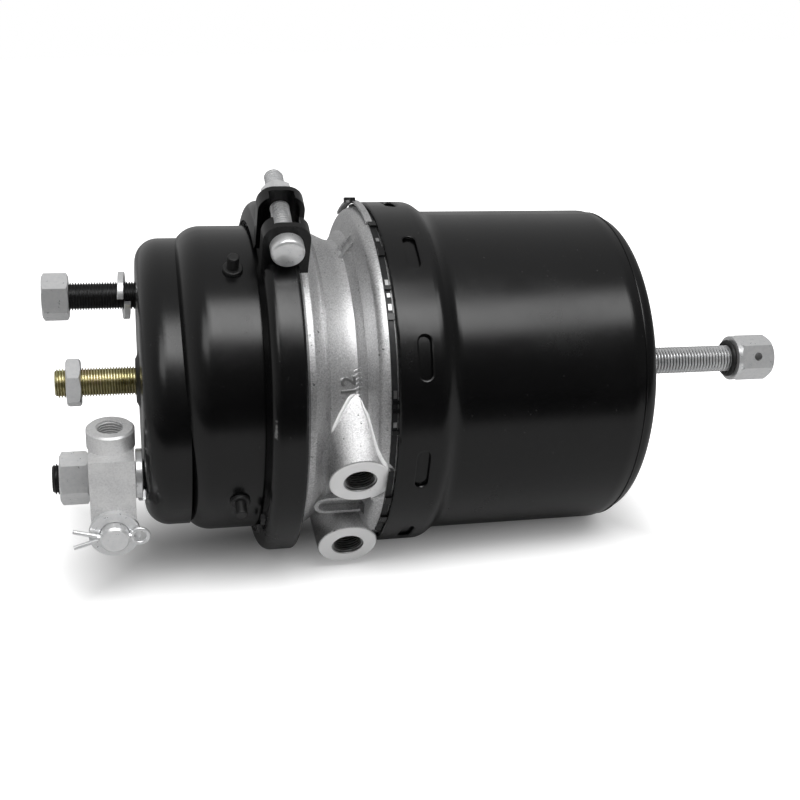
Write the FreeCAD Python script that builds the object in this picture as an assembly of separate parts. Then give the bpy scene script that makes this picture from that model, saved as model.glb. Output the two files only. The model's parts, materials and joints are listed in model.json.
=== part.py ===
import FreeCAD, Part
import math
import os

os.makedirs("parts", exist_ok=True)

# Combination air brake chamber, millimetres.
# X runs along the chamber's axis, from the mounting face at X = 0 to the release bolt.
# Angles about that axis start at -Y and turn upwards, so 90 degrees is straight up.

# Fits between pieces
running_fit = 0.06
seat_gap = 0.1
loose_fit = 0.3
cut_margin = 1.0

# Mounting studs
stud_pitch = 120.65
stud_radius = 8.0
stud_length = 46.5
lower_stud_angle = -35.0
upper_stud_angle = lower_stud_angle + 180.0
stud_head_radius = 13.0
stud_head_height = 5.0
stud_head_rounding = 1.5
stud_plate_thickness = 5.0
stud_plate_margin = 15.0
stud_plate_middle = 34.0
tip_chamfer = 1.5

# M16 nuts and split washers on the studs
nut_flats = 24.0
nut_height = 14.8
nut_chamfer = 1.2
hex_face_inset = 0.4
upper_nut_grip = 9.6
upper_nut_turn = 20.0
lower_nut_turn = 5.0
jam_nut_turn = 30.0
lock_washer_outer = 13.7
lock_washer_inner = 8.25
lock_washer_thickness = 3.6
lock_washer_split = 12.0
lock_washer_turn = 221.0
upper_washer_rise = 4.0
lower_washer_rise = 1.4
upper_washer_position = 2.6

# Service housing, a pressed steel cup with an oval mounting pad
steel_wall = 3.0
front_wall = 4.0
pad_height = 20.0
pad_half_length = 82.5
pad_half_width = 71.0
pad_corner = 13.0
drum_radius = 84.0
shoulder_radius = 15.0
service_depth = 66.4
rim_height = 10.9
rim_land = 2.0
rim_slope = 3.0
plug_setback = 18.9
plug_angle = -30.0
plug_count = 4
plug_stem_radius = 3.0
plug_flange_radius = 5.2
plug_flange_height = 2.0
plug_length = 9.5
plug_bulb_length = 1.5
plug_bulb_radius = 4.3
plug_rounding = 0.8

# Pushrod side
rod_radius = 8.0
rod_length = 45.0
rod_hole_radius = 17.0
rod_seal_lip = 2.0
rod_seal_nose = 12.0
rod_seal_chamfer = 1.0
plate_radius = 62.0
plate_thickness = 4.0
plate_rim_depth = 5.0
plate_rim_width = 6.0
plate_rim_edge = 2.0
plate_rounding = 4.0
plate_hub_radius = 17.0
plate_hub_height = 10.0
plate_hub_rounding = 2.5
jam_nut_height = 8.0
jam_nut_setback = 14.0
return_wire = 2.0
return_coil_small = 26.0
return_coil_large = 44.0
return_turns = 4

# Diaphragm
diaphragm_edge = 5.8
diaphragm_sheet = 3.0
diaphragm_edge_inset = 1.0
diaphragm_land_width = 6.0
diaphragm_step = 1.5
diaphragm_side_gap = 1.0
diaphragm_rounding = 2.5
service_pocket_depth = 12.2
service_pocket_wall = 9.0
service_pocket_flare = 2.0
service_pocket_rounding = 6.0

# Clamp band
band_wall = 2.6
band_leg_depth = 7.9
band_front_corner = 6.0
band_rear_corner = 2.0
ear_half_width = 12.0
ear_angle = 63.9
ear_spacing = 16.0
ear_height = 24.9
ear_corner = 9.0
ear_mouth = 7.5
ear_notch_half_width = 6.5
ear_notch_edge = 3.2
ear_root = 5.0
ear_shift = 2.9
clamp_bolt_radius = 5.0
clamp_bolt_height = 12.6
clamp_head_radius = 8.5
clamp_head_height = 7.0
clamp_head_dome = 2.2
clamp_nut_flats = 15.0
clamp_nut_height = 12.0
clamp_nut_chamfer = 1.2
clamp_nut_turn = 15.0
clamp_nut_flange_radius = 9.8
clamp_nut_flange_edge = 1.2
clamp_nut_flange_height = 4.0
clamp_bolt_protrusion = 13.3
clamp_tip_chamfer = 1.0

# Cast aluminium flange body between the two chambers
flange_rim_land = 4.5
flange_rim_slope = 3.0
barrel_length = 13.0
barrel_rounding = 2.0
groove_setback = 6.0
groove_depth = 1.6
groove_width = 1.6
groove_land_drop = 3.0
valley_depth = 8.5
valley_position = 36.0
valley_width = 4.0
valley_rounding = 12.0
bell_start = 38.3
bell_crease_rise = 4.0
bell_crease_step = 1.5
bell_edge_drop = 2.5
bell_flare_drop = 0.5
bell_edge_width = 4.5
bell_rounding = 6.0
bell_end = 49.0
spigot_length = 26.5
lock_groove_depth = 2.4
lock_groove_width = 11.5
hub_rear_setback = 2.0
spring_side_pocket = 30.0
pocket_floor_radius = 40.0
pocket_top_radius = 56.0
pocket_top_setback = 4.0
pocket_rounding = 6.0
web_back_position = 40.0
o_ring_section = 1.6
rib_angle = 78.0
rib_spacing = 9.0
rib_width = 2.4
rib_rise = 12.0
rib_reach = 5.0
rib_root = 3.0

# Air ports, both square to the axis and parallel to each other
port_angle = -28.85
port_spacing = 58.3
port_drop = 12.5
port_face_distance = 90.0
port_station = 35.6
port_face_radius = 16.5
port_face_chamfer = 0.8
port_base_radius = 18.5
port_side_gap = 0.7
port_base_distance = 62.0
port_bore_radius = 7.25
port_mouth_radius = 8.6
port_mouth_depth = 1.4
port_depth = 17.0
port_drill_radius = 4.0
port_drill_depth = 33.0
port_passage_rise = 0.6
oval_half_length = 18.0
oval_half_width = 7.0
oval_distance = 82.0
oval_offset = -14.5
oval_setback = 2.0
oval_wall = 2.2
oval_recess = 4.0

# Spring housing, a deep cup crimped over the flange body by pressed dimples
skirt_rise = 5.5
joint_gap = 3.8
skirt_length = 25.0
skirt_lip_rounding = 1.2
skirt_rounding = 9.0
shoulder_run = 7.5
housing_radius = 91.0
cylinder_length = 112.5
rear_band = 8.5
rear_step = 0.8
rear_draw = 1.6
rear_draw_length = 6.0
rear_draw_rounding = 14.0
rear_taper = 3.5
rear_corner = 8.5
rear_wall = 4.0
dimple_count = 10
dimple_angle = 23.3
dimple_setback = 14.0
dimple_half_width = 4.2
dimple_arc = 14.5
dimple_depth = 2.2
lock_ring_width = 3.0
o_ring_setback = 3.0
lock_ring_drop = 1.9

# Spring piston and push tube, held back by the release bolt
caged_spring_height = 76.0
piston_web = 6.0
piston_skirt = 28.0
piston_gap = 0.6
piston_wall = 6.5
piston_hub_wall = 9.0
piston_hub_height = 3.0
piston_rounding = 4.0
piston_nose_chamfer = 2.0
piston_seal_start = 4.0
piston_seal_depth = 4.0
piston_seal_width = 6.0
piston_seal_lip = 1.0
piston_guide_depth = 1.5
piston_guide_setback = 9.0
tube_radius = 18.0
tube_bore = 12.5
push_tube_collar = 6.0
nose_thickness = 6.0
nose_flange = 2.5
nose_rounding = 1.0
nose_inset = 0.5
bush_setback = 6.0
bush_wall = 3.0
tube_seal_setback = 1.0
tube_seal_width = 4.5
tube_seal_lip = 1.6
tube_seal_heel = 1.5
tube_seal_gap = 0.5
power_wire = 5.5
power_coil_radius = 66.0
power_turns = 4

# Release bolt, wound fully out
release_radius = 8.0
release_stop_radius = 11.0
release_stop_height = 6.0
release_nut_radius = 17.0
release_nut_height = 12.0
thrust_washer_thickness = 3.0
release_travel = 84.0
release_clearance = 0.8
release_chamfer = 1.0
release_nut_chamfer = 1.5
release_hex_chamfer = 1.6
release_hex_turn = 10.0
release_hex_flats = 24.0
release_hex_height = 22.0
release_washer_radius = 13.5
release_washer_thickness = 2.6
release_o_ring = 1.6
roll_pin_radius = 2.5
roll_pin_turn = -20.0
roll_pin_inset = 0.3
o_ring_squeeze = 0.05

# Clevis, stored on the lower stud
clevis_thickness = 23.0
clevis_depth = 37.0
clevis_slot = 17.4
clevis_pin_drop = 22.5
clevis_neck_height = 19.0
clevis_socket_radius = 12.3
clevis_socket_height = 29.2
clevis_lean = 83.1
clevis_stud_gap = 0.2
clevis_socket_chamfer = 1.0
thread_depth = 0.75
clevis_pin_radius = 7.5
clevis_pin_chamfer = 1.0
clevis_pin_head_radius = 10.5
clevis_pin_head_height = 4.0
clevis_washer_radius = 13.0
clevis_washer_thickness = 3.0
clevis_pin_overhang = 5.8
cotter_radius = 2.0
cotter_wire = 1.1
cotter_loop_radius = 4.2
cotter_leg_length = 13.0
cotter_leg_spread = 4.0
cotter_overhang = 1.0

# Stations along the axis, worked out from the sizes above
plate_face = front_wall + stud_plate_thickness
joint_face = service_depth
flange_face = service_depth + diaphragm_edge
rim_radius = drum_radius + rim_height
service_pocket_radius = drum_radius - service_pocket_wall
diaphragm_land = drum_radius - diaphragm_land_width
groove_land_radius = drum_radius - groove_land_drop
valley_radius = drum_radius - valley_depth
bell_crease_radius = valley_radius + bell_crease_rise
ear_middle = (joint_face + flange_face) / 2.0 + ear_shift
service_floor = flange_face + service_pocket_depth
barrel_end = flange_face + barrel_length
bell_base = flange_face + bell_start
bell_edge = flange_face + bell_end
spigot_end = bell_edge + spigot_length
skirt_start = bell_edge + joint_gap
web_back = flange_face + web_back_position
skirt_end = skirt_start + skirt_length
cylinder_start = skirt_end + shoulder_run
rear_face = cylinder_start + cylinder_length
rear_step_position = rear_face - rear_band
inner_radius = housing_radius - steel_wall
skirt_radius = housing_radius + skirt_rise
skirt_bore = skirt_radius - steel_wall
bell_radius = skirt_radius - bell_edge_drop
bell_flare_radius = bell_radius - bell_flare_drop
lock_ring_radius = skirt_radius - lock_ring_drop
spigot_radius = skirt_bore - loose_fit
spigot_bore = inner_radius + loose_fit
piston_radius = inner_radius - piston_gap
piston_hub_radius = tube_radius + piston_hub_wall
hub_bore_radius = tube_radius + bush_wall
rear_inside = rear_face - rear_wall
web_rear = rear_inside - caged_spring_height
web_front = web_rear - piston_web
seal_start = web_front + piston_seal_start
guide_start = web_front + piston_skirt - piston_guide_setback
dimple_position = skirt_start + dimple_setback
o_ring_groove = bell_edge + lock_ring_width + o_ring_setback
port_position = flange_face + port_station
plug_position = joint_face - plug_setback
upper_nut_position = stud_length - upper_nut_grip
jam_nut_position = rod_length - jam_nut_setback
collar_start = web_rear - push_tube_collar
disc_front = service_floor - seat_gap - diaphragm_sheet
plate_front = disc_front - plate_thickness
nose_front = service_floor - seat_gap + loose_fit
clevis_back = lock_washer_thickness + lower_washer_rise
clevis_middle = clevis_back + clevis_thickness / 2.0
lower_nut_position = clevis_back + clevis_thickness
bolt_height = rim_radius + clamp_bolt_height
bolt_stop = collar_start - thrust_washer_thickness
washer_seat = rear_face + release_travel
seal_end = washer_seat + 2 * release_o_ring
hex_start = seal_end + release_washer_thickness
hex_end = hex_start + release_hex_height
pin_end = -clevis_depth / 2.0 - clevis_washer_thickness - clevis_pin_overhang
cotter_place = -clevis_depth / 2.0 - clevis_washer_thickness - cotter_radius - loose_fit


Vector = FreeCAD.Vector
ORIGIN = Vector(0, 0, 0)
ALONG = Vector(1, 0, 0)
ACROSS = Vector(0, 1, 0)
UP = Vector(0, 0, 1)


def corner(before, point, after, radius):
    """The two tangent points and the middle of the arc that rounds one corner."""
    back = (before - point).normalize()
    ahead = (after - point).normalize()
    half = back.getAngle(ahead) / 2.0
    reach = radius / math.tan(half)
    bisector = (back + ahead).normalize()
    centre = point + bisector * (radius / math.sin(half))
    return point + back * reach, centre - bisector * radius, point + ahead * reach


def outline(points):
    """Closed wire through (x, r) points, where a third number rounds the corner."""
    places = [Vector(p[0], 0, p[1]) for p in points]
    edges = []
    ends = []
    for i, p in enumerate(points):
        if len(p) == 3 and p[2] > 0:
            start, middle, end = corner(places[i - 1], places[i], places[(i + 1) % len(points)], p[2])
            ends.append((start, end, Part.Arc(start, middle, end).toShape()))
        else:
            ends.append((places[i], places[i], None))
    for i, (start, end, arc) in enumerate(ends):
        if arc is not None:
            edges.append(arc)
        following = ends[(i + 1) % len(ends)][0]
        if end.distanceToPoint(following) > 1e-6:
            edges.append(Part.LineSegment(end, following).toShape())
    return Part.Wire(edges)


def turned(points, degrees=360.0):
    """Solid of revolution about the chamber's axis."""
    return Part.Face(outline(points)).revolve(ORIGIN, ALONG, degrees)


def ring(start, end, outer, inner):
    return turned([(start, inner), (end, inner), (end, outer), (start, outer)])


def rod(start, end, radius, chamfer_start=0.0, chamfer_end=0.0):
    """Solid bar on the axis with chamfered ends."""
    points = [(start, 0)]
    if chamfer_start:
        points += [(start, radius - chamfer_start), (start + chamfer_start, radius)]
    else:
        points.append((start, radius))
    if chamfer_end:
        points += [(end - chamfer_end, radius), (end, radius - chamfer_end)]
    else:
        points.append((end, radius))
    points.append((end, 0))
    return turned(points)


def hexagon(start, end, flats, chamfer, turn=0.0):
    """Hexagon bar on the axis with both ends chamfered."""
    corners = []
    radius = flats / math.sqrt(3.0)
    for i in range(7):
        angle = math.radians(60.0 * i + turn)
        corners.append(Vector(start, radius * math.cos(angle), radius * math.sin(angle)))
    bar = Part.Face(Part.makePolygon(corners)).extrude(Vector(end - start, 0, 0))
    face = flats / 2.0 - hex_face_inset
    cap = turned([
        (start, 0), (start, face), (start + chamfer, radius), (end - chamfer, radius), (end, face), (end, 0),
    ])
    return bar.common(cap)


def at_angle(shape, angle):
    """Turn what was made at the top of the chamber to its own angle."""
    placed = shape.copy()
    placed.rotate(ORIGIN, ALONG, 90.0 - angle)
    return placed


def on_stud(shape, angle):
    """Carry a shape made on the axis to a stud's place."""
    placed = shape.copy()
    placed.translate(Vector(0, 0, stud_pitch / 2.0))
    return at_angle(placed, angle)


def upright(shape, height, x):
    """Stand a shape that was made on the X axis upright, its start at a height above the axis."""
    placed = shape.copy()
    placed.rotate(ORIGIN, ACROSS, -90)
    placed.translate(Vector(x, 0, height))
    return placed


def oval_prism(start, end, half_length, half_width):
    """Elliptic prism about the axis, its long way upright."""
    curve = Part.Ellipse(Vector(start, 0, half_length), Vector(start, half_width, 0), Vector(start, 0, 0))
    return Part.Face(Part.Wire(curve.toShape())).extrude(Vector(end - start, 0, 0))


def slot_prism(x, height, half_length, half_width, depth):
    """Prism with round ends, its long way along X, standing at a height and reaching down."""
    straight = half_length - half_width
    left = Vector(x - straight, 0, height)
    right = Vector(x + straight, 0, height)
    side = Vector(0, half_width, 0)
    edges = [
        Part.LineSegment(left + side, right + side).toShape(),
        Part.Arc(right + side, right + Vector(half_width, 0, 0), right - side).toShape(),
        Part.LineSegment(right - side, left - side).toShape(),
        Part.Arc(left - side, left - Vector(half_width, 0, 0), left + side).toShape(),
    ]
    return Part.Face(Part.Wire(edges)).extrude(Vector(0, 0, -depth))


def edges_at(shape, x):
    """Edges that lie wholly in the plane at one X."""
    found = []
    for edge in shape.Edges:
        box = edge.BoundBox
        if abs(box.XMin - x) < 1e-4 and abs(box.XMax - x) < 1e-4:
            found.append(edge)
    return found


def coil(start, end, first_radius, last_radius, turns, wire_radius):
    """Compression spring along the axis; its wire's centre stays inside start and end."""
    height = end - start - 2.0 * wire_radius
    slope = math.degrees(math.atan2(last_radius - first_radius, height))
    path = Part.makeHelix(height / turns, height, first_radius, slope)
    section = Part.Wire(Part.makeCircle(wire_radius, Vector(first_radius, 0, 0), ACROSS))
    spring = Part.Wire(path.Edges).makePipeShell([section], True, True)
    spring.rotate(ORIGIN, ACROSS, 90)
    spring.translate(Vector(start + wire_radius, 0, 0))
    return spring


def save(name, *solids):
    """Write one piece, or one group of like pieces, after testing that it is closed."""
    for solid in solids:
        if not solid.isValid() or solid.Volume <= 0:
            print("bad solid in", name, solid.ShapeType, solid.isValid(), solid.Volume)
    bodies = [one for solid in solids for one in solid.Solids]
    if len(bodies) != len(solids):
        print("more pieces than meant in", name, len(bodies))
    whole = bodies[0] if len(bodies) == 1 else Part.makeCompound(bodies)
    whole.exportStep("parts/" + name + ".step")
    print("%-24s %2d solids %10.1f mm3" % (name, len(bodies), whole.Volume))


# Service housing
def oval_cup(inset, front, corner_radius, back):
    """The oval pad as a solid, its front edge rounded, drawn in by the wall."""
    pad = oval_prism(front, back, pad_half_length - inset, pad_half_width - inset)
    pad = pad.makeFillet(corner_radius, edges_at(pad, front))
    return at_angle(pad, lower_stud_angle)


def service_housing():
    rim_start = joint_face - rim_land - rim_slope
    drum = turned([
        (pad_height, 0), (pad_height, drum_radius, shoulder_radius), (rim_start, drum_radius),
        (rim_start + rim_slope, rim_radius), (joint_face, rim_radius), (joint_face, 0),
    ])
    hollow = turned([
        (pad_height + steel_wall, 0),
        (pad_height + steel_wall, drum_radius - steel_wall, shoulder_radius - steel_wall),
        (joint_face + cut_margin, drum_radius - steel_wall), (joint_face + cut_margin, 0),
    ])
    shell = drum.fuse(oval_cup(0, 0, pad_corner, pad_height + steel_wall))
    shell = shell.cut(hollow)
    shell = shell.cut(oval_cup(steel_wall, front_wall, pad_corner - steel_wall, pad_height + 2 * steel_wall))
    shell = shell.cut(rod(-cut_margin, front_wall + cut_margin, rod_hole_radius))
    stud_hole = rod(-cut_margin, front_wall + cut_margin, stud_radius + loose_fit)
    for angle in (upper_stud_angle, lower_stud_angle):
        shell = shell.cut(on_stud(stud_hole, angle))
    plug_hole = upright(rod(-2 * steel_wall, cut_margin, plug_stem_radius), drum_radius, plug_position)
    for i in range(plug_count):
        shell = shell.cut(at_angle(plug_hole, plug_angle + 360.0 / plug_count * i))
    return shell.removeSplitter()


def vent_plug():
    """Rubber plug in a drain hole: bulb inside, flange and nipple outside."""
    inside = steel_wall + loose_fit
    bulb = -inside - plug_bulb_length
    neck = plug_stem_radius - running_fit
    body = turned([
        (bulb, 0), (bulb, plug_stem_radius), (-inside, plug_bulb_radius), (-inside, neck), (0, neck),
        (0, plug_flange_radius), (plug_flange_height, plug_flange_radius, plug_rounding),
        (plug_flange_height, plug_stem_radius), (plug_length, plug_stem_radius, plug_rounding),
        (plug_length, 0),
    ])
    return upright(body, drum_radius, plug_position)


def stud_plate():
    """Stiffening plate behind the mounting face, which the stud heads bear on."""
    half = stud_pitch / 2.0
    width = stud_plate_margin
    side = Vector(0, width, 0)
    top = Vector(front_wall, 0, half)
    foot = Vector(front_wall, 0, -half)
    edges = [
        Part.LineSegment(foot + side, top + side).toShape(),
        Part.Arc(top + side, top + Vector(0, 0, width), top - side).toShape(),
        Part.LineSegment(top - side, foot - side).toShape(),
        Part.Arc(foot - side, foot - Vector(0, 0, width), foot + side).toShape(),
    ]
    plate = Part.Face(Part.Wire(edges)).extrude(Vector(stud_plate_thickness, 0, 0))
    middle = rod(front_wall, plate_face, stud_plate_middle)
    plate = plate.fuse(middle).removeSplitter()
    plate = at_angle(plate, lower_stud_angle)
    plate = plate.common(oval_cup(steel_wall + seat_gap, front_wall, pad_corner - steel_wall, pad_height))
    plate = plate.cut(rod(0, plate_face + cut_margin, rod_hole_radius))
    hole = rod(0, plate_face + cut_margin, stud_radius + seat_gap)
    for angle in (upper_stud_angle, lower_stud_angle):
        plate = plate.cut(on_stud(hole, angle))
    return plate


def stud(angle):
    bar = turned([
        (-stud_length, 0), (-stud_length, stud_radius - tip_chamfer),
        (-stud_length + tip_chamfer, stud_radius), (plate_face, stud_radius),
        (plate_face, stud_head_radius), (plate_face + stud_head_height, stud_head_radius, stud_head_rounding),
        (plate_face + stud_head_height, 0),
    ])
    return on_stud(bar, angle)


def nut(position, height, bore, turn):
    """M16 nut whose inner face is at a distance in front of the mounting face."""
    blank = hexagon(-position - height, -position, nut_flats, nut_chamfer, turn)
    return blank.cut(rod(-position - height, -position, bore + running_fit))


def split_washer(position, rise):
    """Spring washer: a square section wound once round, its ends apart by the rise."""
    inner = lock_washer_inner
    outer = lock_washer_outer
    height = lock_washer_thickness
    pitch = rise / (1.0 - lock_washer_split / 360.0)
    path = Part.makeHelix(pitch, rise, inner)
    corners = [Vector(inner, 0, 0), Vector(outer, 0, 0), Vector(outer, 0, height), Vector(inner, 0, height)]
    section = Part.makePolygon(corners + corners[:1])
    washer = Part.Wire(path.Edges).makePipeShell([section], True, True)
    washer.rotate(ORIGIN, UP, lock_washer_turn)
    washer.rotate(ORIGIN, ACROSS, -90)
    washer.translate(Vector(-position, 0, 0))
    return washer


# Pushrod and diaphragm
def pushrod():
    return rod(-rod_length, plate_front, rod_radius, tip_chamfer, 0)


def pressure_plate():
    """Dished plate between the pushrod and the diaphragm, with a welded hub."""
    hub_front = plate_front - plate_hub_height
    rim_front = plate_front - plate_rim_depth
    return turned([
        (hub_front, rod_radius + running_fit), (hub_front, plate_hub_radius, plate_hub_rounding),
        (plate_front, plate_hub_radius, plate_hub_rounding),
        (plate_front, plate_radius - plate_rim_width, plate_rounding),
        (rim_front, plate_radius - plate_rim_edge), (rim_front, plate_radius),
        (disc_front, plate_radius, plate_rounding), (disc_front, 0), (plate_front, 0),
        (plate_front, rod_radius + running_fit),
    ])


def diaphragm():
    """Rubber diaphragm at rest: clamped edge, rolled wall and flat middle."""
    edge = rim_radius - diaphragm_edge_inset
    wall = service_pocket_radius - diaphragm_side_gap
    inner = wall - diaphragm_sheet
    disc_back = disc_front + diaphragm_sheet
    return turned([
        (joint_face, edge), (joint_face, diaphragm_land), (joint_face + diaphragm_step, inner, diaphragm_rounding),
        (disc_front, inner - diaphragm_step, diaphragm_rounding), (disc_front, 0), (disc_back, 0),
        (disc_back, wall - diaphragm_step, diaphragm_rounding + diaphragm_sheet),
        (flange_face, wall, diaphragm_rounding), (flange_face, edge),
    ])


def rod_seal():
    """Rubber guide in the rod hole that keeps road dirt out."""
    reach = rod_seal_lip
    outer = rod_hole_radius - seat_gap
    return turned([
        (-reach, rod_radius + seat_gap), (plate_face, rod_radius + seat_gap), (plate_face, outer),
        (0, outer), (0, outer - rod_seal_chamfer), (-reach, rod_seal_nose),
    ])


# Clamp band with two facing ears
def band_leg(radius, wall, land, slope):
    """How far a leg of the V section lies beyond its rim's face at a radius."""
    lean = slope / (rim_radius - drum_radius)
    return land + seat_gap + (rim_radius - radius) * lean + wall * math.sqrt(1.0 + lean * lean)


def band_section(wall, low):
    """V section of the band over both rims: the outer face with a wall, the inner one without."""
    top = rim_radius + seat_gap + wall
    front_corner = 0.0 if wall == 0 else band_front_corner
    rear_corner = 0.0 if wall == 0 else band_rear_corner
    return [
        (joint_face - band_leg(low, wall, rim_land, rim_slope), low),
        (joint_face - band_leg(top, wall, rim_land, rim_slope), top, front_corner),
        (flange_face + band_leg(top, wall, flange_rim_land, flange_rim_slope), top, rear_corner),
        (flange_face + band_leg(low, wall, flange_rim_land, flange_rim_slope), low),
    ]


def ear_prism(inset, start, end):
    """Arched prism that stands on the band and runs tangentially."""
    half = ear_half_width - inset
    top = rim_radius + ear_height - inset
    base = rim_radius - ear_root - inset
    round_off = ear_corner - inset
    points = [
        (ear_middle - half, base), (ear_middle - half, top, round_off),
        (ear_middle + half, top, round_off), (ear_middle + half, base),
    ]
    face = Part.Face(outline(points))
    prism = face.extrude(Vector(0, end - start, 0))
    prism.translate(Vector(0, start, 0))
    return prism


def clamp_ear():
    """Pressed cup on the far side of the gap: end wall, rim, and a notch in the middle of the rim."""
    wall_inside = ear_spacing - band_wall
    ear = ear_prism(0, ear_mouth, ear_spacing)
    ear = ear.cut(ear_prism(band_wall, ear_mouth - cut_margin, wall_inside))
    notch = Part.makeBox(2 * ear_notch_half_width, ear_spacing - ear_notch_edge, ear_height)
    notch.translate(Vector(ear_middle - ear_notch_half_width, 0, bolt_height))
    ear = ear.cut(notch)
    hole = Part.makeCylinder(clamp_bolt_radius + loose_fit, 2 * ear_spacing,
                             Vector(ear_middle, 0, bolt_height), ACROSS)
    return ear.cut(hole)


def clamp_band():
    low = rim_radius - band_leg_depth
    inside = turned(band_section(0, low - cut_margin))
    blank = turned(band_section(band_wall, low)).cut(inside)
    gap = Part.makeBox(4 * ear_half_width, 2 * ear_mouth, 3 * ear_height)
    gap.translate(Vector(ear_middle - 2 * ear_half_width, -ear_mouth, drum_radius - ear_height))
    band = blank.cut(gap)
    ear = clamp_ear().cut(inside)
    band = band.fuse(ear).fuse(ear.mirror(ORIGIN, ACROSS))
    return at_angle(band.removeSplitter(), ear_angle)


def tangential(shape):
    """Carry a shape made on the X axis to the clamp bolt's line, +X turning to the far side."""
    placed = shape.copy()
    placed.rotate(ORIGIN, UP, 90)
    placed.translate(Vector(ear_middle, 0, bolt_height))
    return at_angle(placed, ear_angle)


def clamp_bolt():
    head = -ear_spacing - clamp_head_height
    tip = ear_spacing + clamp_nut_height + clamp_bolt_protrusion
    return tangential(turned([
        (head, 0), (head, clamp_head_radius, clamp_head_dome), (-ear_spacing, clamp_head_radius),
        (-ear_spacing, clamp_bolt_radius), (tip - clamp_tip_chamfer, clamp_bolt_radius),
        (tip, clamp_bolt_radius - clamp_tip_chamfer), (tip, 0),
    ]))


def clamp_nut():
    """Hexagon nut with a conical flange that seats on the ear."""
    end = ear_spacing + clamp_nut_height
    blank = hexagon(ear_spacing, end, clamp_nut_flats, clamp_nut_chamfer, clamp_nut_turn)
    edge = ear_spacing + clamp_nut_flange_edge
    cone_end = ear_spacing + clamp_nut_flange_height
    flange = turned([
        (ear_spacing, 0), (ear_spacing, clamp_nut_flange_radius), (edge, clamp_nut_flange_radius),
        (cone_end, clamp_nut_flats / 2.0), (cone_end, 0),
    ])
    bore = rod(ear_spacing, end, clamp_bolt_radius + running_fit)
    return tangential(blank.fuse(flange).cut(bore))


# Flange body
def port_offset(side):
    """Distance of a port's axis from the plane through the chamber's axis, to the upper side."""
    return side * port_spacing / 2.0 - port_drop


def port_tool(shape, side):
    """Carry a shape made on the X axis to a port, its start at the chamber's axis plane."""
    placed = upright(shape, 0, port_position)
    placed.translate(Vector(0, port_offset(side), 0))
    return at_angle(placed, port_angle)


def service_pocket(grow):
    """The dished space in front of the cast wall, or the same a little larger for cutting."""
    return turned([
        (flange_face - grow, 0), (service_floor, 0),
        (service_floor, service_pocket_radius, service_pocket_rounding),
        (flange_face - grow, service_pocket_radius + service_pocket_flare),
    ])


def flange_blank():
    """The cast body before its bosses: lip, barrel, groove, valley, bell and spigot."""
    groove = barrel_end + groove_setback
    valley_start = flange_face + valley_position - valley_width
    valley_end = flange_face + valley_position
    ring_top = skirt_bore - 2 * o_ring_section
    ring_end = o_ring_groove + 2 * o_ring_section
    lock_start = dimple_position - lock_groove_width / 2.0
    lock_end = lock_start + lock_groove_width
    lock_floor = spigot_radius - lock_groove_depth
    hub_rear = bell_edge - hub_rear_setback
    return turned([
        (flange_face, 0), (flange_face, rim_radius), (flange_face + flange_rim_land, rim_radius),
        (flange_face + flange_rim_land + flange_rim_slope, drum_radius),
        (barrel_end, drum_radius, barrel_rounding),
        (groove - groove_width, groove_land_radius), (groove, groove_land_radius - groove_depth),
        (groove + groove_width, groove_land_radius), (valley_start, valley_radius, valley_rounding),
        (valley_end, valley_radius), (bell_base, bell_crease_radius),
        (bell_base + bell_crease_step, bell_crease_radius + bell_crease_step, bell_crease_step),
        (bell_edge - bell_edge_width, bell_flare_radius, bell_rounding), (bell_edge, bell_radius),
        (bell_edge, spigot_radius), (o_ring_groove, spigot_radius), (o_ring_groove, ring_top),
        (ring_end, ring_top), (ring_end, spigot_radius), (lock_start, spigot_radius), (lock_start, lock_floor),
        (lock_end, lock_floor), (lock_end, spigot_radius), (spigot_end, spigot_radius), (spigot_end, spigot_bore),
        (bell_edge, spigot_bore, pocket_rounding),
        (bell_edge - pocket_top_setback, pocket_top_radius, pocket_rounding),
        (web_back, pocket_floor_radius, pocket_rounding), (hub_rear, spring_side_pocket, hub_rear_setback),
        (hub_rear, 0),
    ])


def port_boss():
    """Tapered boss with a machined face, from the axis plane outwards."""
    face = port_face_radius - port_face_chamfer
    return turned([
        (port_base_distance, 0), (port_base_distance, port_base_radius),
        (port_face_distance - port_face_chamfer, port_face_radius), (port_face_distance, face),
        (port_face_distance, 0),
    ])


def port_bore():
    """Threaded bore with a wider mouth for the seal, and the drilled hole behind it."""
    floor = port_face_distance - port_depth
    mouth = port_face_distance - port_mouth_depth
    bore = turned([
        (floor, 0), (floor, port_bore_radius), (mouth, port_bore_radius), (mouth, port_mouth_radius),
        (port_face_distance + port_mouth_depth, port_mouth_radius), (port_face_distance + port_mouth_depth, 0),
    ])
    return bore.fuse(rod(port_face_distance - port_drill_depth, port_face_distance, port_drill_radius))


def port_passage(side, end):
    """Drilled way along the axis from a port's drilled hole to the chamber that it feeds."""
    height = port_face_distance - port_drill_depth + port_drill_radius + port_passage_rise
    start = Vector(port_position, port_offset(side), height)
    return Part.makeCylinder(port_drill_radius, abs(end - port_position), start, Vector(end - port_position, 0, 0))


def casting_rib(side):
    """Small triangular rib across the valley, one of a pair."""
    start = flange_face + valley_position - valley_width / 2.0
    end = bell_base + rib_reach
    root = valley_radius - rib_root
    corners = [
        Vector(start, 0, root), Vector(start, 0, valley_radius), Vector(end, 0, valley_radius + rib_rise),
        Vector(end, 0, root),
    ]
    rib = Part.Face(Part.makePolygon(corners + corners[:1])).extrude(Vector(0, rib_width, 0))
    rib.translate(Vector(0, side * rib_spacing / 2.0 - rib_width / 2.0, 0))
    return rib


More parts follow.
